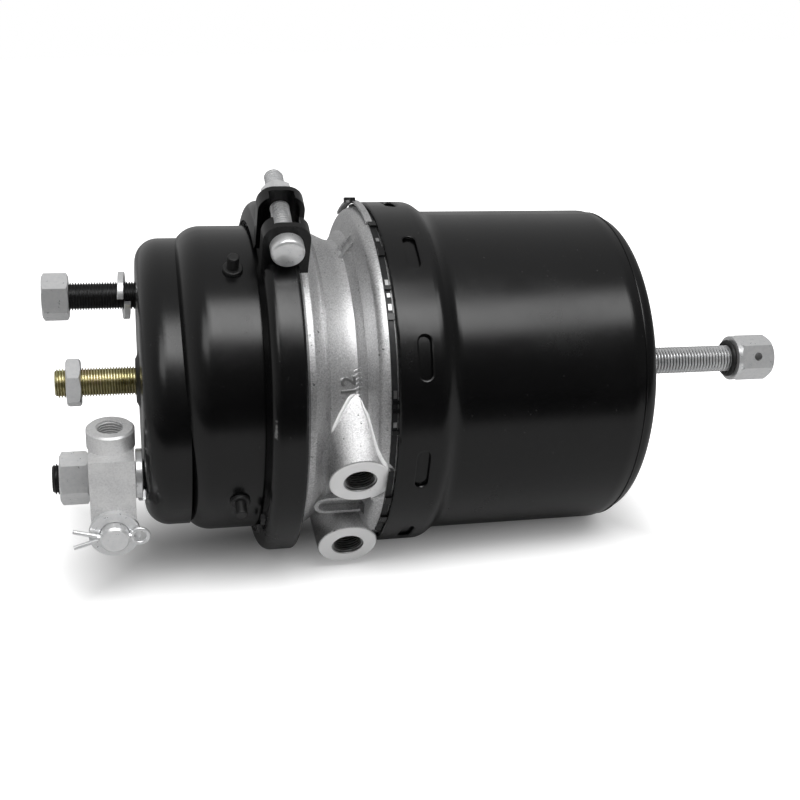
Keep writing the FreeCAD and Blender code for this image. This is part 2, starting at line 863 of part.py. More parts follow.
def flange_body():
    body = flange_blank()
    behind = rod(bell_edge, spigot_end + cut_margin, spigot_bore)
    for side in (-1, 1):
        body = body.fuse(port_tool(port_boss(), side).cut(behind))
        body = body.fuse(at_angle(casting_rib(side), rib_angle))
    reach = port_face_distance - port_base_distance
    frame = slot_prism(port_position - oval_setback, oval_distance, oval_half_length, oval_half_width, reach)
    frame.translate(Vector(0, oval_offset, 0))
    body = body.fuse(at_angle(frame, port_angle).cut(behind))
    recess = slot_prism(port_position - oval_setback, oval_distance + oval_recess, oval_half_length - oval_wall,
                        oval_half_width - oval_wall, 2 * oval_recess)
    recess.translate(Vector(0, oval_offset, 0))
    body = body.cut(at_angle(recess, port_angle))
    body = body.cut(ring(skirt_start - port_side_gap, spigot_end + cut_margin, 2 * spigot_radius, spigot_radius))
    body = body.cut(service_pocket(loose_fit))
    body = body.cut(rod(flange_face, bell_edge, hub_bore_radius))
    for side, end in ((-1, service_floor - port_mouth_depth), (1, bell_edge + port_mouth_depth)):
        body = body.cut(port_tool(port_bore(), side))
        body = body.cut(at_angle(port_passage(side, end), port_angle))
    return body.removeSplitter()


def guide_bush():
    start = service_floor + bush_setback
    end = bell_edge - hub_rear_setback - bush_setback - hub_rear_setback
    return ring(start, end, hub_bore_radius - seat_gap, tube_radius + running_fit)


def tube_seals():
    """One lip seal at each end of the guide bush."""
    seals = []
    inner = tube_radius + running_fit
    outer = hub_bore_radius - seat_gap
    for start in (service_floor + tube_seal_setback, bell_edge - bush_setback - hub_rear_setback):
        end = start + tube_seal_width
        seals.append(turned([
            (start, inner), (end, inner), (end, outer), (end - tube_seal_heel, outer),
            (start + tube_seal_heel, tube_radius + tube_seal_lip), (start, outer - tube_seal_gap),
        ]))
    return seals


def flange_o_ring():
    centre = Vector(o_ring_groove + o_ring_section, 0, skirt_bore - o_ring_section)
    section = Part.Face(Part.Wire(Part.makeCircle(o_ring_section - o_ring_squeeze, centre, ACROSS)))
    return section.revolve(ORIGIN, ALONG, 360)


def lock_ring():
    """Steel strip in the joint between the cast body and the skirt, cut away for both port bosses."""
    start = bell_edge + seat_gap
    strip = ring(start, start + lock_ring_width, lock_ring_radius, spigot_radius + seat_gap)
    room = rod(port_base_distance, port_face_distance + cut_margin, port_base_radius + port_side_gap)
    for side in (-1, 1):
        strip = strip.cut(port_tool(room, side))
    return strip


# Spring housing
def dimple():
    """Oblong pressing round the skirt, made at the top of the chamber."""
    half = dimple_half_width
    floor = skirt_radius - dimple_depth
    proud = skirt_radius + dimple_depth
    band = ring(dimple_position - half, dimple_position + half, proud, floor)
    length = 2 * skirt_radius * math.sin(math.radians(dimple_arc / 2.0))
    stamp = slot_prism(dimple_position, proud, length / 2.0, half, skirt_radius)
    stamp.rotate(Vector(dimple_position, 0, 0), UP, 90)
    return band.common(stamp)


def spring_housing():
    step = rear_step_position
    drawn = housing_radius - rear_draw
    outside = turned([
        (skirt_start, 0), (skirt_start, skirt_radius, skirt_lip_rounding), (skirt_end, skirt_radius, skirt_rounding),
        (cylinder_start, housing_radius, skirt_rounding),
        (step - rear_draw_length, housing_radius, rear_draw_rounding), (step, drawn), (step, drawn - rear_step),
        (rear_face, housing_radius - rear_taper, rear_corner), (rear_face, 0),
    ])
    inside = turned([
        (skirt_start - steel_wall, 0), (skirt_start - steel_wall, skirt_bore),
        (skirt_end - seat_gap, skirt_bore),
        (cylinder_start - seat_gap, inner_radius), (rear_inside, inner_radius, rear_corner), (rear_inside, 0),
    ])
    shell = outside.cut(inside)
    shell = shell.cut(rod(rear_inside - rear_wall, rear_face + rear_wall, release_radius + loose_fit))
    for i in range(dimple_count):
        shell = shell.cut(at_angle(dimple(), dimple_angle + 360.0 / dimple_count * i))
    return shell.removeSplitter()


def release_nut():
    """Threaded insert welded inside the housing's end."""
    start = rear_inside - release_nut_height
    blank = hexagon(start, rear_inside, 2 * release_nut_radius, release_nut_chamfer)
    return blank.cut(rod(start, rear_inside, release_radius + running_fit))


# Spring piston, push tube and power spring
def spring_piston():
    seal_floor = piston_radius - piston_seal_depth
    seal_stop = seal_start + piston_seal_width
    guide_floor = piston_radius - piston_guide_depth
    guide_stop = guide_start + piston_seal_width
    skirt_stop = web_front + piston_skirt
    skirt_inner = piston_radius - piston_wall
    hub_rear = web_rear + piston_hub_height
    return turned([
        (web_front, tube_radius + running_fit), (web_front, piston_radius - piston_nose_chamfer),
        (web_front + piston_nose_chamfer, piston_radius), (seal_start, piston_radius), (seal_start, seal_floor),
        (seal_stop, seal_floor), (seal_stop, piston_radius), (guide_start, piston_radius),
        (guide_start, guide_floor), (guide_stop, guide_floor), (guide_stop, piston_radius),
        (skirt_stop, piston_radius), (skirt_stop, skirt_inner), (web_rear, skirt_inner, piston_rounding),
        (web_rear, piston_hub_radius, piston_hub_height), (hub_rear, piston_hub_radius - piston_hub_height),
        (hub_rear, tube_radius + piston_hub_height), (web_rear, tube_radius + running_fit),
    ])


def piston_seal():
    start = seal_start + seat_gap
    end = seal_start + piston_seal_width - seat_gap
    low = piston_radius - piston_seal_depth + seat_gap
    heel = inner_radius - piston_seal_lip
    return turned([
        (start, low), (end, low), (end, heel), (start + piston_seal_lip, inner_radius - running_fit), (start, heel),
    ])


def piston_guide_ring():
    start = guide_start + seat_gap
    end = guide_start + piston_seal_width - seat_gap
    return ring(start, end, inner_radius - running_fit, piston_radius - piston_guide_depth + seat_gap)


def push_tube():
    """Hollow tube from the piston to the diaphragm, with a collar for the release bolt."""
    start = nose_front + nose_flange
    collar = release_radius + release_clearance
    return turned([
        (start, tube_bore), (start, tube_radius), (web_rear, tube_radius), (web_rear, collar),
        (collar_start, collar), (collar_start, tube_bore),
    ])


def tube_nose():
    flange = nose_front + nose_flange
    back = nose_front + nose_thickness
    rim = tube_radius - nose_inset
    plug = tube_bore - seat_gap
    return turned([
        (nose_front, 0), (nose_front, rim, nose_rounding), (flange, rim), (flange, plug), (back, plug), (back, 0),
    ])


def power_spring():
    return coil(web_rear, rear_inside, power_coil_radius, power_coil_radius, power_turns, power_wire)


def return_spring():
    return coil(plate_face, plate_front, return_coil_small, return_coil_large, return_turns, return_wire)


# Release bolt
def release_bolt():
    stop = bolt_stop - release_stop_height
    tip = release_radius - release_chamfer
    bolt = turned([
        (stop, 0), (stop, release_stop_radius, release_chamfer), (bolt_stop, release_stop_radius),
        (bolt_stop, release_radius), (hex_end - release_chamfer, release_radius), (hex_end, tip), (hex_end, 0),
    ])
    return bolt.cut(roll_pin_bar(roll_pin_radius + running_fit))


def roll_pin_bar(radius):
    """Bar across the hexagon, for the roll pin or its hole."""
    middle = hex_start + release_hex_height / 2.0
    bar = Part.makeCylinder(radius, release_hex_flats, Vector(middle, -release_hex_flats / 2.0, 0), ACROSS)
    bar.rotate(ORIGIN, ALONG, roll_pin_turn)
    return bar


def release_hex():
    blank = hexagon(hex_start, hex_end, release_hex_flats, release_hex_chamfer, release_hex_turn)
    blank = blank.cut(rod(hex_start, hex_end, release_radius + running_fit))
    return blank.cut(roll_pin_bar(roll_pin_radius + running_fit))


def release_roll_pin():
    trim = rod(hex_start, hex_end, release_hex_flats / 2.0 - roll_pin_inset)
    return roll_pin_bar(roll_pin_radius).common(trim)


def release_washer():
    return ring(seal_end, hex_start, release_washer_radius, release_radius + loose_fit)


def release_seal():
    centre = Vector(washer_seat + release_o_ring, 0, release_radius + seat_gap + release_o_ring)
    section = Part.Face(Part.Wire(Part.makeCircle(release_o_ring - o_ring_squeeze, centre, ACROSS)))
    return section.revolve(ORIGIN, ALONG, 360)


def thrust_washer():
    return ring(bolt_stop, collar_start, tube_bore - loose_fit, release_radius + seat_gap)


# Clevis and its pin, made with the stud's centre on the axis and the socket upwards
def on_clevis(shape):
    placed = shape.copy()
    placed.translate(Vector(-clevis_middle, 0, 0))
    placed = at_angle(placed, clevis_lean)
    offset = Part.Vertex(0, 0, stud_pitch / 2.0)
    offset = at_angle(offset, lower_stud_angle).Point
    placed.translate(offset)
    return placed


def clevis_block():
    """The fork's outline seen along the pin, as thick as the pin's grip."""
    half = clevis_thickness / 2.0
    arm = clevis_depth / 2.0
    drop = clevis_pin_drop
    corners = [
        Vector(-half, -arm, -drop), Vector(-half, -arm, clevis_neck_height),
        Vector(half, -arm, clevis_neck_height), Vector(half, -arm, -drop),
    ]
    edges = [Part.LineSegment(corners[i], corners[i + 1]).toShape() for i in range(3)]
    edges.append(Part.Arc(corners[3], Vector(0, -arm, -drop - half), corners[0]).toShape())
    return Part.Face(Part.Wire(edges)).extrude(Vector(0, clevis_depth, 0))


def clevis():
    reach = 2 * clevis_socket_height
    slot = Part.makeBox(2 * clevis_thickness, clevis_slot, reach)
    slot.translate(Vector(-clevis_thickness, -clevis_slot / 2.0, stud_radius + clevis_stud_gap - reach))
    socket_end = clevis_socket_height - clevis_neck_height
    socket = rod(0, socket_end, clevis_socket_radius, 0, clevis_socket_chamfer)
    body = clevis_block().cut(slot).fuse(upright(socket, clevis_neck_height, 0))
    body = body.cut(upright(rod(0, reach, rod_radius - thread_depth), 0, 0))
    hole = Part.makeCylinder(clevis_pin_radius + running_fit, 2 * clevis_depth,
                             Vector(0, -clevis_depth, -clevis_pin_drop), ACROSS)
    return on_clevis(body.cut(hole).removeSplitter())


def clevis_pin():
    arm = clevis_depth / 2.0
    head_end = arm + clevis_pin_head_height
    bar = turned([
        (pin_end, 0), (pin_end, clevis_pin_radius - clevis_pin_chamfer),
        (pin_end + clevis_pin_chamfer, clevis_pin_radius), (arm, clevis_pin_radius), (arm, clevis_pin_head_radius),
        (head_end, clevis_pin_head_radius, clevis_pin_chamfer), (head_end, 0),
    ])
    bar.rotate(ORIGIN, UP, 90)
    bar.translate(Vector(0, 0, -clevis_pin_drop))
    hole = Part.makeCylinder(cotter_radius + seat_gap, 4 * clevis_pin_radius,
                             Vector(-2 * clevis_pin_radius, cotter_place, -clevis_pin_drop), ALONG)
    return on_clevis(bar.cut(hole))


def clevis_washer():
    start = -clevis_depth / 2.0 - clevis_washer_thickness
    flat = ring(start, start + clevis_washer_thickness, clevis_washer_radius, clevis_pin_radius + loose_fit)
    flat.rotate(ORIGIN, UP, 90)
    flat.translate(Vector(0, 0, -clevis_pin_drop))
    return on_clevis(flat)


def cotter_pin():
    """Folded wire: an eye at the right, two legs through the pin, spread at the left."""
    middle = -clevis_pin_drop
    end = clevis_pin_radius + cotter_overhang
    eye = Vector(end + cotter_loop_radius, cotter_place, middle)
    loop = Part.makeTorus(cotter_loop_radius, cotter_wire, eye, ACROSS)
    shank = Part.makeCylinder(cotter_radius, 2 * end, Vector(-end, cotter_place, middle), ALONG)
    legs = []
    for side in (-1, 1):
        start = Vector(-clevis_pin_radius, cotter_place, middle + side * (cotter_radius - cotter_wire))
        along = Vector(-cotter_leg_length, 0, side * cotter_leg_spread)
        legs.append(Part.makeCylinder(cotter_wire, along.Length, start, along))
    return on_clevis(shank.fuse([loop] + legs))


save("service_housing", service_housing())
save("vent_plugs", *[at_angle(vent_plug(), plug_angle + 360.0 / plug_count * i) for i in range(plug_count)])
save("stud_plate", stud_plate())
save("stud_upper", stud(upper_stud_angle))
save("stud_lower", stud(lower_stud_angle))
save("stud_nut_upper", on_stud(nut(upper_nut_position, nut_height, stud_radius, upper_nut_turn), upper_stud_angle))
save("stud_nut_lower", on_stud(nut(lower_nut_position, nut_height, stud_radius, lower_nut_turn), lower_stud_angle))
save("lock_washer_upper", on_stud(split_washer(upper_washer_position, upper_washer_rise), upper_stud_angle))
save("lock_washer_lower", on_stud(split_washer(0, lower_washer_rise), lower_stud_angle))
save("pushrod", pushrod())
save("jam_nut", nut(jam_nut_position, jam_nut_height, rod_radius, jam_nut_turn))
save("pressure_plate", pressure_plate())
save("rod_seal", rod_seal())
save("return_spring", return_spring())
save("diaphragm", diaphragm())
save("clamp_band", clamp_band())
save("clamp_bolt", clamp_bolt())
save("clamp_nut", clamp_nut())
save("flange_body", flange_body())
save("guide_bush", guide_bush())
save("tube_seals", *tube_seals())
save("flange_o_ring", flange_o_ring())
save("lock_ring", *lock_ring().Solids)
save("spring_housing", spring_housing())
save("release_nut", release_nut())
save("spring_piston", spring_piston())
save("piston_seal", piston_seal())
save("piston_guide_ring", piston_guide_ring())
save("push_tube", push_tube())
save("tube_nose", tube_nose())
save("power_spring", power_spring())
save("release_bolt", release_bolt())
save("release_hex", release_hex())
save("release_roll_pin", release_roll_pin())
save("release_washer", release_washer())
save("release_seal", release_seal())
save("thrust_washer", thrust_washer())
save("clevis", clevis())
save("clevis_pin", clevis_pin())
save("clevis_washer", clevis_washer())
save("cotter_pin", cotter_pin())
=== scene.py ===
import json
import math

import bmesh
import bpy
from mathutils import Matrix, Vector


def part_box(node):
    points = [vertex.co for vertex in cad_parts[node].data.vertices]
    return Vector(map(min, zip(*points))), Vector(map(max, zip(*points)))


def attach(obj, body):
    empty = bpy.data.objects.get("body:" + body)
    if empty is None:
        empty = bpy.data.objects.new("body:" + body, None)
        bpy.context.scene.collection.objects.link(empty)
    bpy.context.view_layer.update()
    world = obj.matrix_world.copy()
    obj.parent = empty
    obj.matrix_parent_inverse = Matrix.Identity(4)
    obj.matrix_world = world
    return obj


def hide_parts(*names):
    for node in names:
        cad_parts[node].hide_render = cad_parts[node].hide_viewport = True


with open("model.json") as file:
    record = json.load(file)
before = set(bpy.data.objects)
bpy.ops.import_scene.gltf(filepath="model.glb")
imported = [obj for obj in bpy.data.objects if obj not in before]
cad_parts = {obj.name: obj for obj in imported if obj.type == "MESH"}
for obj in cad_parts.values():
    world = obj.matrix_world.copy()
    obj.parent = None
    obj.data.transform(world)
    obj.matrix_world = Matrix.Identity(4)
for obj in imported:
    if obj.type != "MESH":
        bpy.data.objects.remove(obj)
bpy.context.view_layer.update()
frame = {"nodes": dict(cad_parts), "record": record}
mm = 0.001

# Camera, as the photograph was taken
photo_width = 800
focal_pixels = 1200
sensor_width = 36.0
look_down = math.radians(20.7)
look_across = math.radians(-14.03)
camera_roll = math.radians(2.55)
chamber_right = -143.8 * mm
chamber_up = 10.9 * mm
chamber_ahead = 662.5 * mm

# Sizes that repeat the model's own, in its frame
stud_pitch = 120.65 * mm
lower_stud_angle = -35.0
upper_stud_angle = lower_stud_angle + 180.0
ear_angle = 63.9
ear_middle = 72.2 * mm
clamp_bolt_height = 107.5 * mm
port_angle = -28.85
port_position = 107.8 * mm
port_rows = {"lower": -41.65 * mm, "upper": 16.65 * mm}
port_face = 90.0 * mm
clevis_lean = 83.1
clevis_middle = 16.5 * mm
body_end = 123.8 * mm
boss_top = 89.15 * mm

# The raised figures on the cast body
figure_position = 106.4 * mm
figure_angle = 10.6

# Edges sharper than this stay sharp
sharp_angle = 35.0

# Threads
coarse_pitch = 2.0 * mm
fine_pitch = 1.5 * mm
clamp_pitch = 1.9 * mm


# Places
def about_chamber(angle):
    """Turn that carries what is made at the top of the chamber to its own angle."""
    return Matrix.Rotation(math.radians(90.0 - angle), 4, "X")


def at_stud(angle):
    return about_chamber(angle) @ Matrix.Translation((0, 0, stud_pitch / 2.0))


def at_port(row):
    """Place of a port: what is made on the X axis points out of it."""
    stand = Matrix.Rotation(math.radians(-90.0), 4, "Y")
    return about_chamber(port_angle) @ Matrix.Translation((port_position, port_rows[row], 0)) @ stand


def at_clamp():
    side = Matrix.Rotation(math.radians(90.0), 4, "Z")
    return about_chamber(ear_angle) @ Matrix.Translation((ear_middle, 0, clamp_bolt_height)) @ side


def at_clevis():
    offset = at_stud(lower_stud_angle).to_translation()
    return Matrix.Translation(offset) @ about_chamber(clevis_lean) @ Matrix.Translation((-clevis_middle, 0, 0))


def around(x, radius, angle):
    """Point at a radius and an angle about the chamber's axis."""
    turn = math.radians(angle)
    return Vector((x, -radius * math.cos(turn), radius * math.sin(turn)))


def skin(node, x, angle, lift=0.0):
    """Point on the outer skin of a node at a distance along the chamber and an angle about it."""
    start = around(x, 0.2, angle)
    hit, place, _, _ = frame["nodes"][node].ray_cast(start, Vector((0, -start.y, -start.z)).normalized())
    radius = math.hypot(place.y, place.z) if hit else 0.0
    return around(x, radius + lift, angle)


# Meshes
def finish_mesh(name, mesh, body, slot, finish=None):
    """Make an object of a bmesh, with smooth faces and sharp edges, that rides on a body."""
    bmesh.ops.remove_doubles(mesh, verts=mesh.verts, dist=1e-6)
    bmesh.ops.dissolve_degenerate(mesh, edges=mesh.edges, dist=1e-7)
    bmesh.ops.recalc_face_normals(mesh, faces=mesh.faces)
    limit = math.radians(sharp_angle)
    for face in mesh.faces:
        face.smooth = True
    for edge in mesh.edges:
        if len(edge.link_faces) == 2 and edge.calc_face_angle(0.0) > limit:
            edge.smooth = False
    data = bpy.data.meshes.new(name)
    mesh.to_mesh(data)
    mesh.free()
    piece = bpy.data.objects.new(name, data)
    bpy.context.scene.collection.objects.link(piece)
    data.materials.append(finish or finishes[slot])
    # The second material, for the bottoms of thread grooves, is painted shade
    if any(face.material_index for face in data.polygons):
        data.materials.append(groove_shades.get(slot, data.materials[0]))
    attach(piece, body)
    return piece


def ring_of(mesh, x, radius, count):
    """One ring of vertices about the X axis."""
    found = []
    for i in range(count):
        angle = 2.0 * math.pi * i / count
        found.append(mesh.verts.new((x, radius * math.cos(angle), radius * math.sin(angle))))
    return found


def bridge(mesh, first, second):
    """Faces between two rings, either of which may be a single point."""
    count = max(len(first), len(second))
    if count == 1:
        return
    for i in range(count):
        j = (i + 1) % count
        if len(first) == 1:
            mesh.faces.new((first[0], second[j], second[i]))
        elif len(second) == 1:
            mesh.faces.new((first[i], first[j], second[0]))
        else:
            mesh.faces.new((first[i], first[j], second[j], second[i]))


def close_loop(mesh, rings):
    """Faces between rings, and from the last back to the first."""
    for first, second in zip(rings, rings[1:] + rings[:1]):
        bridge(mesh, first, second)


def lathe(mesh, points, count=48):
    """Turned surface about the X axis through (x, r) points, closed where r is zero."""
    rings = []
    for x, radius in points:
        rings.append([mesh.verts.new((x, 0, 0))] if radius < 1e-7 else ring_of(mesh, x, radius, count))
    for first, second in zip(rings, rings[1:]):
        bridge(mesh, first, second)


def thread(mesh, start, end, root, crest, pitch, tips=(0.0, 0.0), wall=0.0, flare=0.0, count=48):
    """Closed threaded bar about the X axis, or a threaded sleeve where a wall radius is given.

    A sleeve's mouth at its end may open out by a flare. The bottoms of the grooves take the second material, a darker
    finish that paints shade into them.
    """
    profile = [(0.0, root), (0.4, root), (0.58, crest), (0.82, crest), (1.0, root)]
    mouth = end - 1.5 * mm

    def radius_at(x, share):
        phase = ((x - start) / pitch - share) % 1.0
        for (low, first), (high, second) in zip(profile, profile[1:]):
            if phase <= high:
                radius = first + (second - first) * (phase - low) / (high - low)
                break
        if tips[0]:
            radius = min(radius, crest - tips[0] + x - start)
        if tips[1]:
            radius = min(radius, crest - tips[1] + end - x)
        if flare and x > mouth:
            radius += flare * (x - mouth) / (end - mouth)
        return radius

    columns = []
    for i in range(count + 1):
        share = i / count
        angle = 2.0 * math.pi * share
        column = []
        for k in range(-1, int((end - start) / pitch) + 2):
            for step, _ in profile[:-1]:
                x = min(max(start + (k + step + share) * pitch, start), end)
                radius = radius_at(x, share)
                column.append(mesh.verts.new((x, radius * math.cos(angle), radius * math.sin(angle))))
        columns.append(column)
    for first, second in zip(columns, columns[1:]):
        for k in range(len(first) - 1):
            face = mesh.faces.new((first[k], second[k], second[k + 1], first[k + 1]))
            # The bottom of each groove takes the second material, which paints shade there
            if k % (len(profile) - 1) == 0:
                face.material_index = 1
    near = [column[0] for column in columns[:-1]]
    far = [column[-1] for column in columns[:-1]]
    if wall:
        outer_near = ring_of(mesh, start, wall, count)
        outer_far = ring_of(mesh, end, wall, count)
        bridge(mesh, near, outer_near)
        bridge(mesh, outer_near, outer_far)
        bridge(mesh, outer_far, far)
    else:
        bridge(mesh, near, [mesh.verts.new((start, 0, 0))])
        bridge(mesh, far, [mesh.verts.new((end, 0, 0))])


def sweep(mesh, points, widths, count=10):
    """Closed round bar along points, its radius given at each."""
    rings = []
    for i, point in enumerate(points):
        ahead = (points[min(i + 1, len(points) - 1)] - points[max(i - 1, 0)]).normalized()
        outward = Vector((0, point.y, point.z)).normalized()
        side = ahead.cross(outward).normalized()
        up = side.cross(ahead)
        found = []
        for k in range(count):
            turn = 2.0 * math.pi * k / count
            shift = side * math.cos(turn) * widths[i] + up * math.sin(turn) * widths[i]
            found.append(mesh.verts.new(point + shift))
        rings.append(found)
    for first, second in zip(rings, rings[1:]):
        bridge(mesh, first, second)
    bridge(mesh, rings[0], [mesh.verts.new(points[0])])
    bridge(mesh, rings[-1], [mesh.verts.new(points[-1])])


def block(mesh, x_low, x_high, low, high, angle, arc):
    """Small block between two radii about the chamber's axis, its length an arc in millimetres."""
    half = math.degrees(arc / high) / 2.0
    corners = []
    for x in (x_low, x_high):
        for radius, turn in ((low, -half), (high, -half), (high, 0.0), (high, half), (low, half), (low, 0.0)):
            corners.append(mesh.verts.new(around(x, radius, angle + turn)))
    mesh.faces.new(corners[:6])
    mesh.faces.new(corners[6:])
    for i in range(6):
        j = (i + 1) % 6
        mesh.faces.new((corners[i], corners[j], corners[j + 6], corners[i + 6]))


# Materials
class Nodes:
    """A node tree with short ways to add and join nodes."""

    def __init__(self, tree):
        self.tree = tree

    def add(self, kind, inputs=None, **settings):
        node = self.tree.nodes.new(kind)
        for key, value in settings.items():
            setattr(node, key, value)
        for key, value in (inputs or {}).items():
            self.feed(node.inputs[key], value)
        return node

    def feed(self, socket, value):
        if isinstance(value, bpy.types.NodeSocket):
            self.tree.links.new(value, socket)
        else:
            socket.default_value = value

    def spread(self, value, low, high, to_low=0.0, to_high=1.0):
        node = self.add("ShaderNodeMapRange", {"Value": value, "From Min": low, "From Max": high,
                                               "To Min": to_low, "To Max": to_high})
        return node.outputs["Result"]

    def mix(self, share, first, second):
        node = self.add("ShaderNodeMix", data_type="RGBA")
        self.feed(node.inputs[0], share)
        self.feed(node.inputs[6], first)
        self.feed(node.inputs[7], second)
        return node.outputs[2]

    def maths(self, operation, first, second=0.0):
        node = self.add("ShaderNodeMath", operation=operation)
        self.feed(node.inputs[0], first)
        self.feed(node.inputs[1], second)
        return node.outputs[0]


class Shader(Nodes):
    """A material's node tree, with what its surface needs."""

    def __init__(self, name):
        self.material = bpy.data.materials.new(name)
        self.material.use_nodes = True
        super().__init__(self.material.node_tree)
        self.surface = self.tree.nodes["Principled BSDF"]
        self.place = self.add("ShaderNodeTexCoord").outputs["Object"]

    def set(self, **values):
        for key, value in values.items():
            self.feed(self.surface.inputs[key.replace("_", " ")], value)

    def noise(self, scale, detail=2.0, rough=0.5, place=None):
        node = self.add("ShaderNodeTexNoise", {"Vector": place or self.place, "Scale": scale, "Detail": detail,
                                               "Roughness": rough})
        return node.outputs["Fac"]

    def bump(self, height, strength, distance, normal=None):
        inputs = {"Height": height, "Strength": strength, "Distance": distance}
        if normal is not None:
            inputs["Normal"] = normal
        node = self.add("ShaderNodeBump", inputs)
        return node.outputs["Normal"]

    def port_faces(self):
        """1 on the turned faces of the two ports, 0 elsewhere."""
        turn = math.radians(port_angle)
        outward = self.add("ShaderNodeVectorMath", {0: self.place, 1: (0.0, -math.cos(turn), math.sin(turn))},
                           operation="DOT_PRODUCT")
        high = self.spread(outward.outputs["Value"], port_face - 0.5 * mm, port_face - 0.3 * mm)
        low = self.spread(outward.outputs["Value"], port_face + 0.1 * mm, port_face + 0.25 * mm, 1.0, 0.0)
        discs = []
        for row in ("upper", "lower"):
            middle = at_port(row) @ Vector((port_face, 0, 0))
            away = self.add("ShaderNodeVectorMath", {0: self.place, 1: tuple(middle)}, operation="DISTANCE")
            discs.append(self.spread(away.outputs["Value"], 16.8 * mm, 17.0 * mm, 1.0, 0.0))
        level = self.maths("MULTIPLY", high, low)
        return self.maths("MULTIPLY", level, self.maths("MAXIMUM", discs[0], discs[1]))

    def rubbed_spot(self, middle, scale, reach):
        """One long spot at a place, ragged at its edge."""
        shift = self.add("ShaderNodeVectorMath", {0: self.place, 1: middle}, operation="SUBTRACT")
        sized = self.add("ShaderNodeVectorMath", {0: shift.outputs[0], 1: scale}, operation="MULTIPLY")
        length = self.add("ShaderNodeVectorMath", {0: sized.outputs[0]}, operation="LENGTH")
        ragged = self.maths("ADD", length.outputs["Value"], self.spread(self.noise(700.0, 3.0), 0.3, 0.7, 0.0, reach))
        return self.spread(ragged, reach, 1.6 * reach, 1.0, 0.0)

    def stretched(self, scale):
        node = self.add("ShaderNodeMapping", {"Vector": self.place, "Scale": scale})
        return node.outputs["Vector"]


def black_paint():
    """Gloss black coating: light orange peel, specks of dust and one rubbed spot on the clamp band."""
    s = Shader("black_paint")
    peel = s.noise(170.0, 2.0)
    wave = s.noise(28.0, 1.0)
    dust = s.spread(s.noise(700.0, 1.0), 0.77, 0.8)
    smear = s.spread(s.noise(22.0, 5.0, 0.7), 0.45, 0.75)
    rubbed = s.rubbed_spot((62.6 * mm, -96.3 * mm, 6.0 * mm), (1.0 / 1.1, 1.0, 1.0 / 5.5), 1.0 * mm)
    paint = s.mix(dust, (0.002, 0.002, 0.0022, 1), (0.03, 0.03, 0.03, 1))
    s.set(Base_Color=s.mix(rubbed, paint, (0.3, 0.3, 0.3, 1)))
    s.set(Metallic=rubbed)
    s.set(Roughness=s.spread(smear, 0.0, 1.0, 0.22, 0.31))
    rough = s.bump(peel, 0.035, 0.3 * mm)
    s.set(Normal=s.bump(wave, 0.05, 1.2 * mm, rough))
    return s.material


def black_steel():
    """Black phosphate, its tone mottled a little brighter in places."""
    s = Shader("black_steel")
    s.set(Metallic=0.5)
    s.set(Base_Color=s.mix(s.noise(500.0, 3.0), (0.006, 0.006, 0.0065, 1), (0.03, 0.03, 0.031, 1)))
    s.set(Roughness=s.spread(s.noise(300.0), 0.3, 0.7, 0.32, 0.48))
    s.set(Normal=s.bump(s.noise(2000.0), 0.1, 0.1 * mm))
    return s.material


def rubber():
    s = Shader("black_rubber")
    s.set(Base_Color=s.mix(s.noise(400.0, 3.0), (0.006, 0.006, 0.006, 1), (0.018, 0.018, 0.018, 1)))
    s.set(Roughness=s.spread(s.noise(200.0), 0.3, 0.7, 0.4, 0.55))
    s.set(Normal=s.bump(s.noise(900.0), 0.08, 0.2 * mm))
    return s.material


def plated(name, dark, light, roughness, grain, metallic=1.0):
    """Plated steel with fine scratches and clouding."""
    s = Shader(name)
    s.set(Metallic=metallic)
    cloud = s.noise(420.0, 5.0, 0.65)
    s.set(Base_Color=s.mix(s.spread(cloud, 0.3, 0.7), dark, light))
    scratch = s.noise(1.0, 2.0, 0.6, s.stretched((400.0, 3000.0, 3000.0)))
    dents = s.noise(900.0, 3.0, 0.6)
    s.set(Roughness=s.spread(cloud, 0.3, 0.7, roughness, roughness + 0.05))
    s.set(Normal=s.bump(dents, grain, 0.12 * mm, s.bump(scratch, grain, 0.05 * mm)))
    return s.material


def yellow_passivate():
    """Yellow zinc: olive and straw with a greenish and a rosy cast that wander along the bar."""
    s = Shader("yellow_zinc")
    s.set(Metallic=1.0)
    wander = s.noise(1.0, 3.0, 0.6, s.stretched((160.0, 60.0, 60.0)))
    base = s.mix(s.spread(wander, 0.35, 0.65), (0.62, 0.58, 0.3, 1), (0.98, 0.93, 0.62, 1))
    tint = s.mix(s.spread(s.noise(90.0, 2.0), 0.5, 0.75), base, (0.86, 0.68, 0.54, 1))
    green = s.mix(s.spread(s.noise(130.0, 2.0), 0.55, 0.8), tint, (0.62, 0.74, 0.4, 1))
    s.set(Base_Color=green)
    s.set(Roughness=s.spread(wander, 0.3, 0.7, 0.24, 0.36))
    s.set(Normal=s.bump(s.noise(900.0, 3.0), 0.12, 0.08 * mm))
    return s.material


def grainy_zinc():
    """Zinc plate over a shot-blasted forging."""
    s = Shader("zinc_casting")
    s.set(Metallic=0.6)
    grain = s.noise(1000.0, 3.0, 0.6)
    cloud = s.noise(90.0, 4.0, 0.6)
    tone = s.mix(grain, (0.5, 0.5, 0.505, 1), (1.0, 1.0, 1.0, 1))
    s.set(Base_Color=s.mix(s.spread(cloud, 0.4, 0.7, 0.0, 0.5), tone, (0.98, 0.98, 0.97, 1)))
    s.set(Roughness=s.spread(grain, 0.3, 0.7, 0.36, 0.5))
    s.set(Normal=s.bump(grain, 0.4, 0.22 * mm))
    return s.material


